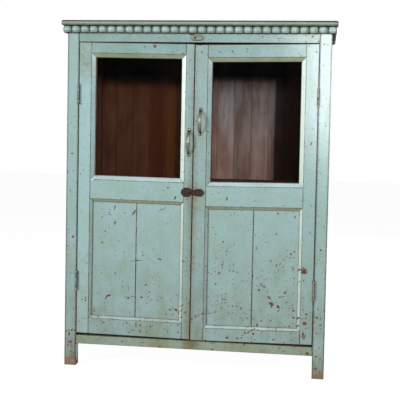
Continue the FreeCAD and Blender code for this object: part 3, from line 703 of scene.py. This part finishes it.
@dataclass(frozen=True)
class Glass:
    """A clear old pane with a film of dust.

    Attributes:
        name: The material's name.
        tint: Colour of what is seen through it.
        dust: Colour of the dust.
        film: How thick the dust lies.
        gloss: Roughness of the pane.
        bend: Its index of refraction, low because it reflects little.
    """

    SMEARS, SMEAR_TURN, SMEAR_STRETCH = Pattern(14.0, 4.0, 0.6), 25.0, (1.0, 1.0, 0.5)
    VEIL, VEIL_LEAST = (0.35, 0.75), 0.3

    name: str
    tint: Colour = srgb(244, 247, 245)
    dust: Colour = srgb(170, 168, 170)
    film: float = 0.003
    gloss: float = 0.03
    bend: float = 1.06

    def material(self) -> Material:
        """Make the glass.

        Returns:
            The material.
        """
        g = Graph(bpy.data.materials.new(self.name))
        clear = g.node("ShaderNodeBsdfTransparent", {"Color": self.tint})
        shine = g.node("ShaderNodeBsdfGlossy", {"Roughness": self.gloss})
        fresnel = g.node("ShaderNodeFresnel", {"IOR": self.bend}).outputs[0]
        pane = g.node("ShaderNodeMixShader", {0: fresnel, 1: clear.outputs[0], 2: shine.outputs[0]})
        powder = g.node("ShaderNodeBsdfDiffuse", {"Color": self.dust})
        slanted = g.turned(g.coords, self.SMEAR_TURN, "Y_AXIS")
        smears = g.noise(g.placed(slanted, self.SMEAR_STRETCH), self.SMEARS)
        veil = g.span(smears, *self.VEIL, self.film * self.VEIL_LEAST, self.film)
        return g.finish(g.node("ShaderNodeMixShader", {0: veil, 1: pane.outputs[0], 2: powder.outputs[0]}))


class Finish(Enum):
    """The finishes of the cupboard."""

    POSTS = Paint(
        "post_paint", Grain.UPRIGHT, grime=srgb(30, 38, 38), chips=0.33, wear=0.45, rim=0.012, rim_dirt=1.2,
        scuff=0.045,
        marks=ovals((-564, 600, 8, 6, 30), (-591, 556, 8, 3, 35), (-578, 147, 6, 10), (-570, 111, 8, 7),
                    (573, 581, 4, 6, -20), (-574, 984, 5, 3)),
        # The smudges darken the feet: dirt on their fronts and painted shade on their inner sides.
        smudges=ovals((-570, 50, 60, 130), (-550, 60, 30, 120), (573, 30, 50, 70)))
    LEFT_HINGE_STILE = Paint(
        "left_stile_paint", Grain.UPRIGHT, fresh=srgb(162, 195, 198), aged=srgb(157, 189, 183), soil=0.25,
        # The smudge darkens the top of the stile: painted shade under the cornice.
        smudges=ovals((-515, 1430, 80, 160)))
    RIGHT_HINGE_STILE = Paint(
        "right_stile_paint", Grain.UPRIGHT, fresh=srgb(150, 180, 183),
        marks=ovals((501, 484, 17, 14), (509, 249, 12, 10), (504, 197, 4, 20), (511, 188, 3, 14, 20),
                    (523, 657, 2, 11, -40), (517, 1052, 3, 10, 35)))
    MEETING = Paint(
        "meeting_stile_paint", Grain.UPRIGHT, fresh=srgb(149, 178, 180), aged=srgb(143, 168, 161),
        marks=ovals((-45, 506, 8, 3), (22, 1455, 6, 4)),
        smudges=ovals((-10.5, 860, 32, 950), (-12, 800, 60, 130), (-20, 220, 30, 200)))
    # Chamfers that face left are painted lighter: painted highlight.
    PALE_EDGES = Paint(
        "pale_chamfer_paint", Grain.UPRIGHT, fresh=srgb(190, 214, 206), aged=srgb(186, 206, 190), gloss=0.36)
    # Chamfers that face up are painted lighter: painted light from above; their extra chips and wear are
    # real.
    SILLS = Paint(
        "sill_paint", Grain.ACROSS, fresh=srgb(176, 206, 210), aged=srgb(164, 192, 188), chips=0.5, wear=0.62,
        gloss=0.4)
    # Chamfers that face down are painted darker olive: painted shade, with dirt.
    SOFFITS = Paint(
        "soffit_paint", Grain.ACROSS, fresh=srgb(150, 165, 142), aged=srgb(134, 146, 112), under=0.3,
        wear=0.6)
    # Chamfers that face right are painted darker: painted shade; their extra chips and wear are real.
    DARK_EDGES = Paint(
        "dark_chamfer_paint", Grain.UPRIGHT, fresh=srgb(148, 180, 184), aged=srgb(138, 163, 158), chips=0.7,
        wear=0.6)
    RAILS = Paint(
        "rail_paint", Grain.ACROSS, under=0.34,
        marks=ovals((-89, 794, 3, 12, 25), (-122, 841, 8, 3), (147, 799, 3, 9, 15), (-261, 206, 3, 13),
                    (-418, 209, 12, 3, 25)))
    # The head rails are painted darker than the other rails: painted shadow under the cornice; their marks
    # are real chips.
    HEAD_RAILS = Paint(
        "head_rail_paint", Grain.ACROSS, fresh=srgb(138, 171, 173), aged=srgb(131, 160, 154), under=0.5,
        marks=ovals((-194, 1478, 9, 6, 25), (-242, 1476, 5, 2, -35), (293, 1524, 5, 5, -30),
                    (369, 1518, 11, 2), (-27, 1535, 14, 8), (160, 1458, 3, 4), (166, 1448, 4, 3),
                    (101, 1458, 5, 3)))
    FOOT_RAIL = Paint(
        "foot_rail_paint", Grain.ACROSS, fresh=srgb(152, 178, 166), aged=srgb(142, 156, 126), soil=0.4,
        chips=0.2, marks=ovals((524, 114, 9, 7)),
        smudges=ovals((-4, 122, 60, 80), (-10, 128, 50, 70), (-14, 134, 45, 50), (-6, 128, 50, 60),
                      (100, 139, 24, 11), (98, 140, 22, 10)))
    RIGHT_PANEL = Paint(
        "right_panel_paint", Grain.UPRIGHT, fresh=srgb(154, 185, 186), chips=0.5,
        marks=ovals((357, 329, 15, 7, 20), (362, 322, 4, 16, 25), (348, 356, 11, 5, 25),
                    (388, 316, 7, 9, -20), (299, 388, 7, 5), (338, 383, 4, 4), (418, 381, 5, 5),
                    (451, 492, 2, 16, -40), (285, 578, 3, 7, 30), (374, 645, 4, 5), (376, 503, 4, 7),
                    (349, 522, 4, 4), (271, 451, 5, 9), (202, 465, 2, 8, -40), (221, 301, 4, 7, 20),
                    (403, 362, 17, 2, -8), (316, 409, 2, 18, -50), (379, 739, 3, 8, -40),
                    (456, 725, 3, 8, -40), (90, 749, 6, 4)))
    LEFT_PANEL = Paint(
        "left_panel_paint", Grain.UPRIGHT, chips=0.36,
        marks=ovals((-281, 721, 4, 17, 35), (-371, 743, 3, 12), (-370, 669, 4, 9, 15),
                    (-150, 739, 24, 2, -28), (-265, 499, 34, 2, -8), (-365, 518, 3, 3), (-158, 511, 12, 3),
                    (-396, 331, 16, 6, -20), (-404, 324, 4, 12, 30), (-239, 331, 8, 5), (-268, 327, 4, 8),
                    (-146, 332, 4, 3)))
    CORNICE = Paint(
        "cornice_paint", Grain.ACROSS, fresh=srgb(163, 191, 189), aged=srgb(150, 176, 164),
        dirt=srgb(70, 68, 50), chips=0.12, wear=0.42, under=0.3, nook=0.01)
    # A dark paint for the mouldings' undersides and the ground between the beads: painted shade.
    GAPS = Paint(
        "gap_paint", Grain.ACROSS, fresh=srgb(98, 102, 84), aged=srgb(78, 78, 62), chips=0.1, wear=0.3,
        shine=0.0)
    BUTTON = Paint(
        "button_paint", Grain.ACROSS, fresh=srgb(136, 150, 138), aged=srgb(116, 122, 100), chips=0.5,
        wear=0.6)
    SIDES = Paint("side_paint", Grain.UPRIGHT)
    SIDE_RAILS = Paint("side_rail_paint", Grain.DEEP)
    TOP = Paint(
        "top_paint", Grain.ACROSS, fresh=srgb(138, 162, 160), soil=0.8, wear=0.56, crown=0.95, gloss=0.7,
        shine=0.1)
    # The back boards carry a painted sheen and a painted shadow behind the panes.
    BACK = RawBoards("back_wood", Grain.UPRIGHT, pitch=(0.0857, 0.0, 0.0), bloom=0.97)
    LEVEL = RawBoards(
        "shelf_wood", Grain.ACROSS, pitch=(0.0, 0.084, 0.0), pale=srgb(112, 76, 56), deep=srgb(60, 38, 28))
    INNER = RawBoards("inner_wood", Grain.UPRIGHT, pale=srgb(118, 66, 44), deep=srgb(66, 36, 24))
    REAR = RawBoards("rear_wood", Grain.UPRIGHT, pitch=(0.0857, 0.0, 0.0), dusty=0.12)
    INNER_ACROSS = RawBoards("inner_rail_wood", Grain.ACROSS, pale=srgb(112, 62, 41), deep=srgb(62, 34, 22))
    INNER_DEEP = RawBoards("inner_side_wood", Grain.DEEP, pale=srgb(112, 62, 41), deep=srgb(62, 34, 22))
    BRASS = Metal("brass", srgb(126, 118, 106), srgb(46, 42, 36), 0.4, 0.5, 0.36, 90.0, 1.0)
    IRON = Metal("rusty_iron", srgb(58, 50, 46), srgb(98, 66, 47), 0.6, 0.85, 0.3, 100.0, 0.05, 0.06)
    STEEL = Metal("hinge_steel", srgb(140, 158, 154), srgb(66, 52, 42), 0.42, 0.8, 0.5, 110.0, 0.1)
    GLASS = Glass("window_glass")


@cache
def material_of(finish: Finish) -> Material:
    """Return a finish's material, which is made the first time."""
    return finish.value.material()


def taken(node: str) -> Mesh:
    """Return a merged copy of a CAD node's mesh, with its flat faces made whole and no walls inside.

    Args:
        node: The node's name.

    Returns:
        The new mesh.
    """
    mesh = bmesh.new()
    mesh.from_mesh(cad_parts[node].data)
    bmesh.ops.remove_doubles(mesh, verts=mesh.verts, dist=MERGE_DISTANCE)
    bmesh.ops.dissolve_limit(mesh, angle_limit=FLAT_ANGLE, verts=mesh.verts, edges=mesh.edges)
    walls = [face for face in mesh.faces if all(len(edge.link_faces) > 2 for edge in face.edges)]
    bmesh.ops.delete(mesh, geom=walls, context="FACES_ONLY")
    mesh.normal_update()
    return mesh


def soften(mesh: Mesh, width: float, least: float = 0.03) -> None:
    """Round the long outer edges of a piece, and note the rounded strips in its edge attribute.

    Args:
        mesh: The piece.
        width: The width of the rounding.
        least: The shortest edge that is rounded.
    """
    layer = mesh.faces.layers.float.new("edge")

    def breadth(face: bmesh.types.BMFace) -> float:
        """Return a face's mean breadth in widths of the rounding."""
        return face.calc_area() / (width * max(edge.calc_length() for edge in face.edges))

    edges = []
    for edge in mesh.edges:
        if len(edge.link_faces) != 2 or edge.calc_length() < least:
            continue
        sharp = edge.calc_face_angle_signed() > SHARP_ANGLE
        if sharp and all(breadth(face) > BROAD_FACE for face in edge.link_faces):
            edges.append(edge)
    rounded = bmesh.ops.bevel(mesh, geom=edges, offset=width, offset_type="OFFSET", segments=ROUNDING_STEPS,
                              profile=0.5, affect="EDGES", clamp_overlap=False, material=-1)
    for face in rounded["faces"]:
        if face.is_valid and breadth(face) < STRIP_FACE:
            face[layer] = 1.0
    bmesh.ops.dissolve_degenerate(mesh, dist=MERGE_DISTANCE, edges=mesh.edges)


def placed_piece(mesh: Mesh, name: str, body: str, finishes: Sequence[Finish],
                 stands_for: Iterable[str] = (), smooth: float = 0.0) -> None:
    """Make a finished piece that rides on a body.

    Args:
        mesh: Its mesh, which is used up.
        name: Its name.
        body: The body that carries it.
        finishes: The finish of each face, or a single one for all.
        stands_for: The CAD nodes that it replaces.
        smooth: The angle in degrees up to which faces are shaded as one, or 0 where only the strips along
            the edges are round.
    """
    layer = mesh.faces.layers.float.get("edge")
    used = list(dict.fromkeys(finishes))
    if len(used) > 1:
        for face, finish in zip(mesh.faces, finishes):
            face.material_index = used.index(finish)
    for face in mesh.faces:
        face.smooth = bool(smooth) or (layer is not None and bool(face[layer]))
    data = bpy.data.meshes.new(name)
    mesh.to_mesh(data)
    mesh.free()
    if smooth:
        data.set_sharp_from_angle(angle=math.radians(smooth))
    for finish in used:
        data.materials.append(material_of(finish))
    piece = bpy.data.objects.new(name, data)
    bpy.context.scene.collection.objects.link(piece)
    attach(piece, body)
    for node in stands_for:
        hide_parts(node)
    log.info("%s: %d faces on %s", name, len(data.polygons), body)


def dress(node: str, finish: Finish) -> None:
    """Give a CAD node, whose shape is right, a finish.

    Args:
        node: The node's name.
        finish: The finish.
    """
    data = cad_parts[node].data
    data.materials.clear()
    data.materials.append(material_of(finish))
    log.info("%s: dressed with %s", node, finish.value.name)


def nail_heads(places: Sequence[Vector], facing: Vector, radius: float, crown: float = NAIL_CROWN) -> Mesh:
    """Return hammered nail heads.

    Args:
        places: The middles of their undersides.
        facing: The way that they face.
        radius: Their radius.
        crown: Their height.

    Returns:
        One mesh with all of them.
    """
    mesh = bmesh.new()
    turn = UP.rotation_difference(facing).to_matrix().to_4x4()
    for place in places:
        verts = [mesh.verts.new((share * radius, 0.0, rise * crown)) for share, rise in NAIL_PROFILE]
        edges = [mesh.edges.new(pair) for pair in zip(verts, verts[1:])]
        bmesh.ops.spin(mesh, geom=verts + edges, cent=(0, 0, 0), axis=UP, angle=math.tau, steps=NAIL_SIDES,
                       use_merge=True)
        new = [vert for vert in mesh.verts if not vert.tag]
        bmesh.ops.transform(mesh, matrix=Matrix.Translation(place) @ turn, verts=new)
        for vert in new:
            vert.tag = True
    bmesh.ops.remove_doubles(mesh, verts=mesh.verts, dist=MERGE_DISTANCE)
    bmesh.ops.recalc_face_normals(mesh, faces=mesh.faces)
    return mesh


@dataclass
class Joiner:
    """Makes the wooden pieces, painted outside and bare inside.

    Attributes:
        rounding: Width of the rounded edges of painted pieces.
        raw_rounding: Width of the rounded edges of bare pieces.
        rabbet: The depth from which the doors' openings are bare.
        foot: The height below which a post is painted all round.
        facing: How squarely a face looks one way, to count as looking that way.
        chamfer: The range of the forward part of a chamfer's normal.
        tilt: The least sideways part of it.
    """

    rounding: float = 0.0013
    raw_rounding: float = 0.00091
    rabbet: float = -0.1745
    foot: float = 0.1
    facing: float = 0.7
    chamfer: tuple[float, float] = (-0.95, -0.85)
    tilt: float = 0.3

    def painted(self, node: str, body: str, finish: Finish, *inward: Vector,
                inner: Finish = Finish.INNER) -> None:
        """Make a painted wooden piece from a CAD node.

        Args:
            node: The node.
            body: The body that carries it.
            finish: Its paint.
            *inward: The ways that its bare inner faces look.
            inner: The finish of those faces.
        """
        mesh = taken(node)
        soften(mesh, self.rounding)
        if node.endswith("post"):
            bmesh.ops.bisect_plane(mesh, geom=mesh.verts[:] + mesh.edges[:] + mesh.faces[:],
                                   plane_co=UP * self.foot, plane_no=UP)
        layer = mesh.faces.layers.float["edge"]
        on_door = body.endswith("door")
        finishes = []
        for face in mesh.faces:
            middle, normal = face.calc_center_median(), face.normal
            looks_in = middle.z > self.foot and any(normal.dot(way) > self.facing for way in inward)
            if looks_in or (on_door and middle.y > self.rabbet):
                finishes.append(inner)
            elif on_door and self.chamfer[0] < normal.y < self.chamfer[1] and not face[layer]:
                finishes.append(self.chamfer_finish(normal, finish))
            else:
                finishes.append(finish)
        placed_piece(mesh, f"{node}_wood", body, finishes, [node])

    def chamfer_finish(self, normal: Vector, finish: Finish) -> Finish:
        """Return the paint of a chamfer, lighter or darker by the way that it faces: painted highlight and
        painted shade.

        Args:
            normal: The way that it faces.
            finish: The paint of the piece.

        Returns:
            The paint of the chamfer.
        """
        if abs(normal.z) > self.tilt:
            return Finish.SILLS if normal.z > 0 else Finish.SOFFITS
        if abs(normal.x) > self.tilt:
            return Finish.PALE_EDGES if normal.x < 0 else Finish.DARK_EDGES
        return finish

    def raw(self, node: str, body: str, finish: Finish, rear: Optional[Finish] = None,
            front: Optional[Finish] = None) -> None:
        """Make an unpainted wooden piece from a CAD node.

        Args:
            node: The node.
            body: The body that carries it.
            finish: Its finish.
            rear: The finish of its faces at the back, where it differs.
            front: The finish of its faces at the front, where it differs.
        """
        mesh = taken(node)
        soften(mesh, self.raw_rounding)
        finishes = []
        for face in mesh.faces:
            if face.normal.dot(BACK) > self.facing:
                finishes.append(rear or finish)
            elif face.normal.dot(FRONT) > self.facing:
                finishes.append(front or finish)
            else:
                finishes.append(finish)
        placed_piece(mesh, f"{node}_wood", body, finishes, [node])


@dataclass
class Carcass:
    """The standing frame with its panels, boards and top.

    Attributes:
        joiner: The maker of its wooden pieces.
        boards: How many back boards there are.
        nail_shares: Where the nails stand across each of them.
        nail_radius: Radius of the nail heads on the back.
        nail_rise: How far the lower nails stand from the ends of the boards.
        nail_drop: How far the upper ones do.
        bead_sink: How far the ground between the beads lies behind their fronts, at least.
        down: How squarely a face of the cornice looks down, to count as its underside.
        square: How squarely it looks outward, to count as the ground between the beads.
        top_down: How squarely a face of the top board looks down, to be bare.
    """

    joiner: Joiner
    boards: int = 13
    nail_shares: tuple[float, float] = (0.3, 0.72)
    nail_radius: float = 0.0035
    nail_rise: float = 0.02
    nail_drop: float = 0.03
    bead_sink: float = 0.0126
    down: float = -0.9
    square: float = 0.99
    top_down: float = -0.95

    def build(self) -> None:
        """Build all the pieces of the standing frame."""
        painted, raw = self.joiner.painted, self.joiner.raw
        for side, inward in ((Hand.LEFT, RIGHT), (Hand.RIGHT, LEFT)):
            name = side.value
            painted(f"front_{name}_post", "carcass", Finish.POSTS, BACK, inward)
            painted(f"rear_{name}_post", "carcass", Finish.SIDES, FRONT, inward)
            for level in ("top", "middle", "bottom"):
                painted(f"{name}_side_{level}_rail", "carcass", Finish.SIDE_RAILS, inward,
                        inner=Finish.INNER_DEEP)
            for level in ("upper", "lower"):
                painted(f"{name}_side_{level}_panel", "carcass", Finish.SIDES, inward)
        painted("front_top_rail", "carcass", Finish.HEAD_RAILS, BACK, inner=Finish.INNER_ACROSS)
        painted("front_bottom_rail", "carcass", Finish.FOOT_RAIL, BACK, inner=Finish.INNER_ACROSS)
        for node in ("rear_top_rail", "rear_bottom_rail"):
            raw(node, "carcass", Finish.INNER_ACROSS)
        for node in ("floor_bearers", "shelf_bearers"):
            raw(node, "carcass", Finish.INNER_DEEP)
        raw("back_boards", "carcass", Finish.BACK, rear=Finish.REAR)
        raw("floor_boards", "carcass", Finish.LEVEL, front=Finish.FOOT_RAIL)
        raw("shelf_boards", "carcass", Finish.LEVEL)
        self.build_cornice()
        self.build_back_nails()

    def build_cornice(self) -> None:
        """Build the top board and the bead mouldings under it."""
        mesh = taken("top_board")
        finishes = [Finish.INNER if face.normal.z < self.top_down else Finish.TOP for face in mesh.faces]
        placed_piece(mesh, "top_board_wood", "carcass", finishes, ["top_board"], TOP_SMOOTH)
        for place, outward in (("front", FRONT), ("left", LEFT), ("right", RIGHT)):
            node = f"{place}_bead_moulding"
            mesh = taken(node)
            reach = max(vert.co.dot(outward) for vert in mesh.verts)
            finishes = []
            for face in mesh.faces:
                sunk = reach - face.calc_center_median().dot(outward) > self.bead_sink
                # Undersides and the sunk ground between the beads get the painted shade.
                hidden = face.normal.z < self.down or (sunk and face.normal.dot(outward) > self.square)
                finishes.append(Finish.GAPS if hidden else Finish.CORNICE)
            placed_piece(mesh, f"{node}_wood", "carcass", finishes, [node], CURVE_SMOOTH)

    def build_back_nails(self) -> None:
        """Build the rows of nails that hold the back boards."""
        low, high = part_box("back_boards")
        pitch = (high.x - low.x) / self.boards
        places = [Vector((low.x + (index + share) * pitch, high.y, z))
                  for index in range(self.boards) for share in self.nail_shares
                  for z in (low.z + self.nail_rise, high.z - self.nail_drop)]
        mesh = nail_heads(places, BACK, self.nail_radius)
        placed_piece(mesh, "back_nails", "carcass", [Finish.IRON], smooth=NAIL_SMOOTH)


@dataclass
class Door:
    """One door with its glass, panel and handle.

    Attributes:
        hand: Which door it is.
        joiner: The maker of its wooden pieces.
        bow_width: Half the width of the handle's bow at its middle.
        bow_end_width: Half its width at the ends.
        bow_thickness: Half its thickness.
        bow_steps: Steps along it.
        bow_sides: Steps round it.
        foot_radius: Radius of the handle's feet.
        foot_height: Height of the feet.
        nail_radius: Radius of the handle's nails.
        nail_share: Where the nails stand, as a share of the feet's height.
    """

    hand: Hand
    joiner: Joiner
    bow_width: float = 0.007
    bow_end_width: float = 0.0045
    bow_thickness: float = 0.0028
    bow_steps: int = 16
    bow_sides: int = 12
    foot_radius: float = 0.0095
    foot_height: float = 0.0042
    nail_radius: float = 0.0024
    nail_share: float = 0.9

    @property
    def body(self) -> str:
        """The body that carries the door."""
        return f"{self.hand.value}_door"

    def build(self) -> None:
        """Build all the pieces of the door."""
        for part, finish in (("hinge_stile", Finish[f"{self.hand.name}_HINGE_STILE"]),
                             ("meeting_stile", Finish.MEETING), ("top_rail", Finish.HEAD_RAILS),
                             ("lock_rail", Finish.RAILS), ("bottom_rail", Finish.RAILS),
                             ("panel", Finish[f"{self.hand.name}_PANEL"])):
            inner = Finish.INNER_ACROSS if part.endswith("rail") else Finish.INNER
            self.joiner.painted(f"{self.body}_{part}", self.body, finish, BACK, inner=inner)
        self.joiner.raw(f"{self.body}_glazing_beads", self.body, Finish.INNER)
        dress(f"{self.body}_glass", Finish.GLASS)
        self.build_handle()

    def build_handle(self) -> None:
        """Build the cast bow handle on its round feet, and its nails."""
        node = f"{self.hand.value}_handle"
        low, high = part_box(node)
        middle = Vector(((low.x + high.x) / 2, high.y, (low.z + high.z) / 2))
        half = (high.z - low.z) / 2 - self.foot_radius
        places = [middle + UP * rise for rise in (-half, half)]
        mesh = nail_heads(places, FRONT, self.foot_radius, self.foot_height)
        self.add_bow(mesh, middle, half, high.y - low.y - self.bow_thickness)
        placed_piece(mesh, f"{node}_metal", self.body, [Finish.BRASS], [node], BOW_SMOOTH)
        places = [place + FRONT * (self.foot_height * self.nail_share) for place in places]
        nails = nail_heads(places, FRONT, self.nail_radius)
        placed_piece(nails, f"{node}_nails", self.body, [Finish.IRON], smooth=NAIL_SMOOTH)

    def add_bow(self, mesh: Mesh, middle: Vector, half: float, reach: float) -> None:
        """Add the bow, an oval bar that swells towards its middle.

        Args:
            mesh: The handle's mesh.
            middle: The point on the door behind the middle of the bow.
            half: Half the distance between its ends.
            reach: How far the bow's axis stands off the door.
        """
        radius = (half * half + reach * reach) / (2 * reach)
        spread = math.asin(half / radius)
        rings = []
        for step in range(self.bow_steps + 1):
            angle = spread * (2 * step / self.bow_steps - 1)
            swell = math.cos(angle / spread * math.pi / 2)
            width = self.bow_end_width + (self.bow_width - self.bow_end_width) * swell
            out = radius * math.cos(angle) - radius + reach
            place = middle + Vector((0, -out, radius * math.sin(angle)))
            shape = Matrix.Rotation(-angle, 4, "X") @ Matrix.Diagonal((width, self.bow_thickness, 1, 1))
            ring = bmesh.ops.create_circle(
                mesh, cap_ends=step in (0, self.bow_steps), segments=self.bow_sides, radius=1.0,
                matrix=Matrix.Translation(place) @ shape)["verts"]
            rings.append({edge for vert in ring for edge in vert.link_edges})
        for first, second in zip(rings, rings[1:]):
            bmesh.ops.bridge_loops(mesh, edges=list(first | second))
        bmesh.ops.recalc_face_normals(mesh, faces=mesh.faces)


@dataclass
class Hardware:
    """The hinges, the hasp and the turn button.

    Attributes:
        button_rounding: Width of the button's rounded edges.
        button_least: The shortest of its edges that is rounded.
        nail_plane: How far the nails stand behind the front of the whole part.
        leaf_nail: Radius and height of the nails of the hasp's leaf.
        leaf_spots: Their distances from its right end and above its middle.
        plate_nail: Radius and height of the nails of the staple's plate.
        plate_spots: Their distances from its right end, or below 0 from its left end, and above its middle.
    """

    button_rounding: float = 0.0016
    button_least: float = 0.001
    nail_plane: float = 0.03
    leaf_nail: tuple[float, float] = (0.0022, 0.0009)
    leaf_spots: tuple[tuple[float, float], ...] = ((0.007, -0.009), (0.007, 0.009))
    plate_nail: tuple[float, float] = (0.0016, 0.0007)
    plate_spots: tuple[tuple[float, float], ...] = ((0.021, -0.0187), (0.021, 0.0187), (-0.0045, 0.0))

    def build(self) -> None:
        """Dress the CAD hardware, and build its nails."""
        for node in ("frame_hinge_leaves", "hinge_pins", "left_door_hinge_leaves", "right_door_hinge_leaves"):
            dress(node, Finish.STEEL)
        for node in ("hasp_leaf", "hasp_pin", "hasp_strap", "staple", "staple_plate"):
            dress(node, Finish.IRON)
        mesh = taken("turn_button")
        soften(mesh, self.button_rounding, self.button_least)
        placed_piece(mesh, "turn_button_wood", "button", [Finish.BUTTON], ["turn_button"],
                     CURVE_SMOOTH)
        placed_piece(taken("turn_button_nail"), "turn_button_nail_head", "carcass", [Finish.IRON],
                     ["turn_button_nail"], CURVE_SMOOTH)
        self.build_nails()

    def build_nails(self) -> None:
        """Build the nails of the hasp's leaf and of the staple's plate."""
        face = cad_low.y + self.nail_plane
        for name, node, body, size, spots in (
                ("hasp_nails", "hasp_leaf", "right_door", self.leaf_nail, self.leaf_spots),
                ("plate_nails", "staple_plate", "left_door", self.plate_nail, self.plate_spots)):
            low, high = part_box(node)
            middle = (low.z + high.z) / 2
            places = [Vector(((high if inset > 0 else low).x - inset, face, middle + rise))
                      for inset, rise in spots]
            nails = nail_heads(places, FRONT, *size)
            placed_piece(nails, name, body, [Finish.IRON], smooth=NAIL_SMOOTH)


@dataclass(frozen=True)
class Lamp:
    """A soft lamp.

    Attributes:
        name: Its name.
        place: Where it hangs.
        aim: Where it points.
        size: Its width and height.
        power: Its power in watts.
        spread: The angle of its beam in degrees.
    """

    name: str
    place: tuple[float, float, float]
    aim: tuple[float, float, float]
    size: tuple[float, float]
    power: float
    spread: float = 180.0

    def hang(self) -> None:
        """Hang the lamp."""
        data = bpy.data.lights.new(self.name, "AREA")
        data.shape = "RECTANGLE"
        data.size, data.size_y = self.size
        data.energy = self.power
        data.spread = math.radians(self.spread)
        lamp = bpy.data.objects.new(self.name, data)
        way = Vector(self.aim) - Vector(self.place)
        lamp.matrix_world = Matrix.Translation(self.place) @ way.to_track_quat("-Z", "Y").to_matrix().to_4x4()
        bpy.context.scene.collection.objects.link(lamp)


@dataclass
class Studio:
    """The floor, the lamps and the camera.

    Attributes:
        eye: Place of the camera.
        yaw: Its turn to the left in degrees.
        pitch: Its tilt up in degrees.
        roll: Its roll in degrees.
        focal: Focal length in pixels of the picture.
        picture: Width of the picture in pixels.
        sensor: Width of the sensor in millimetres.
        shift: Shift of the picture.
        ambient: Strength of the light from all round.
        floor_size: Half the width of the floor.
        floor_cells: Squares along a side of its mesh.
        floor_grey: How pale the floor is where it is seen.
        floor_bounce: How much light it throws back.
        floor_glow: Strength of its own light where it is seen.
        floor_share: The share of that light.
        lamps: The lamps.
    """

    # The turn in degrees at which a camera looks level
    LEVEL = 90.0

    eye: tuple[float, float, float] = (0.560, -3.741, 1.097)
    yaw: float = 7.09
    pitch: float = -2.54
    roll: float = 1.18
    focal: float = 795.0
    picture: float = 400.0
    sensor: float = 36.0
    shift: tuple[float, float] = (-0.053, -0.0812)
    ambient: float = 0.07
    floor_size: float = 15.0
    floor_cells: int = 8
    floor_grey: float = 0.5
    floor_bounce: float = 0.14
    floor_glow: float = 1.2
    floor_share: float = 0.8
    lamps: tuple[Lamp, ...] = (
        Lamp("key_lamp", (-6.47, -6.16, 2.45), (0.0, -0.2, 1.0), (0.6, 0.6), 485.0),
        Lamp("fill_lamp", (1.5, -3.6, 2.15), (0.2, -0.2, 0.95), (0.9, 0.5), 52.0),
        Lamp("front_lamp", (0.62, -3.9, 2.4), (0.1, -0.2, 0.95), (0.9, 0.5), 40.0),
        Lamp("near_lamp", (0.585, -3.55, 1.48), (0.79, -0.2, 1.29), (0.34, 0.86), 0.335, 14.0),
        Lamp("side_lamp", (4.6, 1.0, 2.3), (0.6, 0.0, 0.8), (1.2, 1.0), 130.0),
        Lamp("back_lamp", (1.9, 4.0, 2.3), (0.0, 0.2, 0.9), (1.2, 1.0), 90.0))

    def build(self) -> None:
        """Build the studio."""
        bpy.context.scene.view_settings.view_transform = "Standard"
        self.build_camera()
        self.build_world()
        self.build_floor()
        for lamp in self.lamps:
            lamp.hang()

    def build_camera(self) -> None:
        """Place the camera."""
        data = bpy.data.cameras.new("camera")
        data.sensor_width = self.sensor
        data.lens = self.focal / self.picture * self.sensor
        data.shift_x, data.shift_y = self.shift
        camera = bpy.data.objects.new("camera", data)
        place = Matrix.Translation(self.eye)
        for degrees, axis in ((self.yaw, "Z"), (self.LEVEL + self.pitch, "X"), (self.roll, "Z")):
            place = place @ Matrix.Rotation(math.radians(degrees), 4, axis)
        camera.matrix_world = place
        bpy.context.scene.collection.objects.link(camera)
        bpy.context.scene.camera = camera

    def build_world(self) -> None:
        """Make a world that looks white and lights softly."""
        g = Graph(bpy.data.worlds.new("studio"))
        level = g.span(g.seen(), 0.0, 1.0, self.ambient, 1.0)
        sky = g.node("ShaderNodeBackground", {"Color": (1.0, 1.0, 1.0, 1.0), "Strength": level})
        bpy.context.scene.world = g.finish(sky)

    def build_floor(self) -> None:
        """Lay a pale floor that looks white and keeps the shadow."""
        mesh = bmesh.new()
        cells = self.floor_cells
        bmesh.ops.create_grid(mesh, x_segments=cells, y_segments=cells, size=self.floor_size)
        data = bpy.data.meshes.new("floor")
        mesh.to_mesh(data)
        mesh.free()
        floor = bpy.data.objects.new("floor", data)
        bpy.context.scene.collection.objects.link(floor)
        g = Graph(bpy.data.materials.new("floor_paper"))
        seen = g.seen()
        level = g.span(seen, 0.0, 1.0, self.floor_bounce, self.floor_grey)
        grey = g.node("ShaderNodeBsdfDiffuse", {"Color": level})
        white = g.node("ShaderNodeEmission", {"Strength": self.floor_glow})
        paper = g.node("ShaderNodeMixShader", {
            0: g.times(seen, self.floor_share), 1: grey.outputs[0], 2: white.outputs[0]})
        data.materials.append(g.finish(paper))


def main() -> None:
    """Build the cupboard and its studio."""
    logging.basicConfig(level=logging.INFO, format="%(name)s: %(message)s")
    joiner = Joiner()
    Carcass(joiner).build()
    for hand in Hand:
        Door(hand, joiner).build()
    Hardware().build()
    Studio().build()


if __name__ == "__main__":
    main()
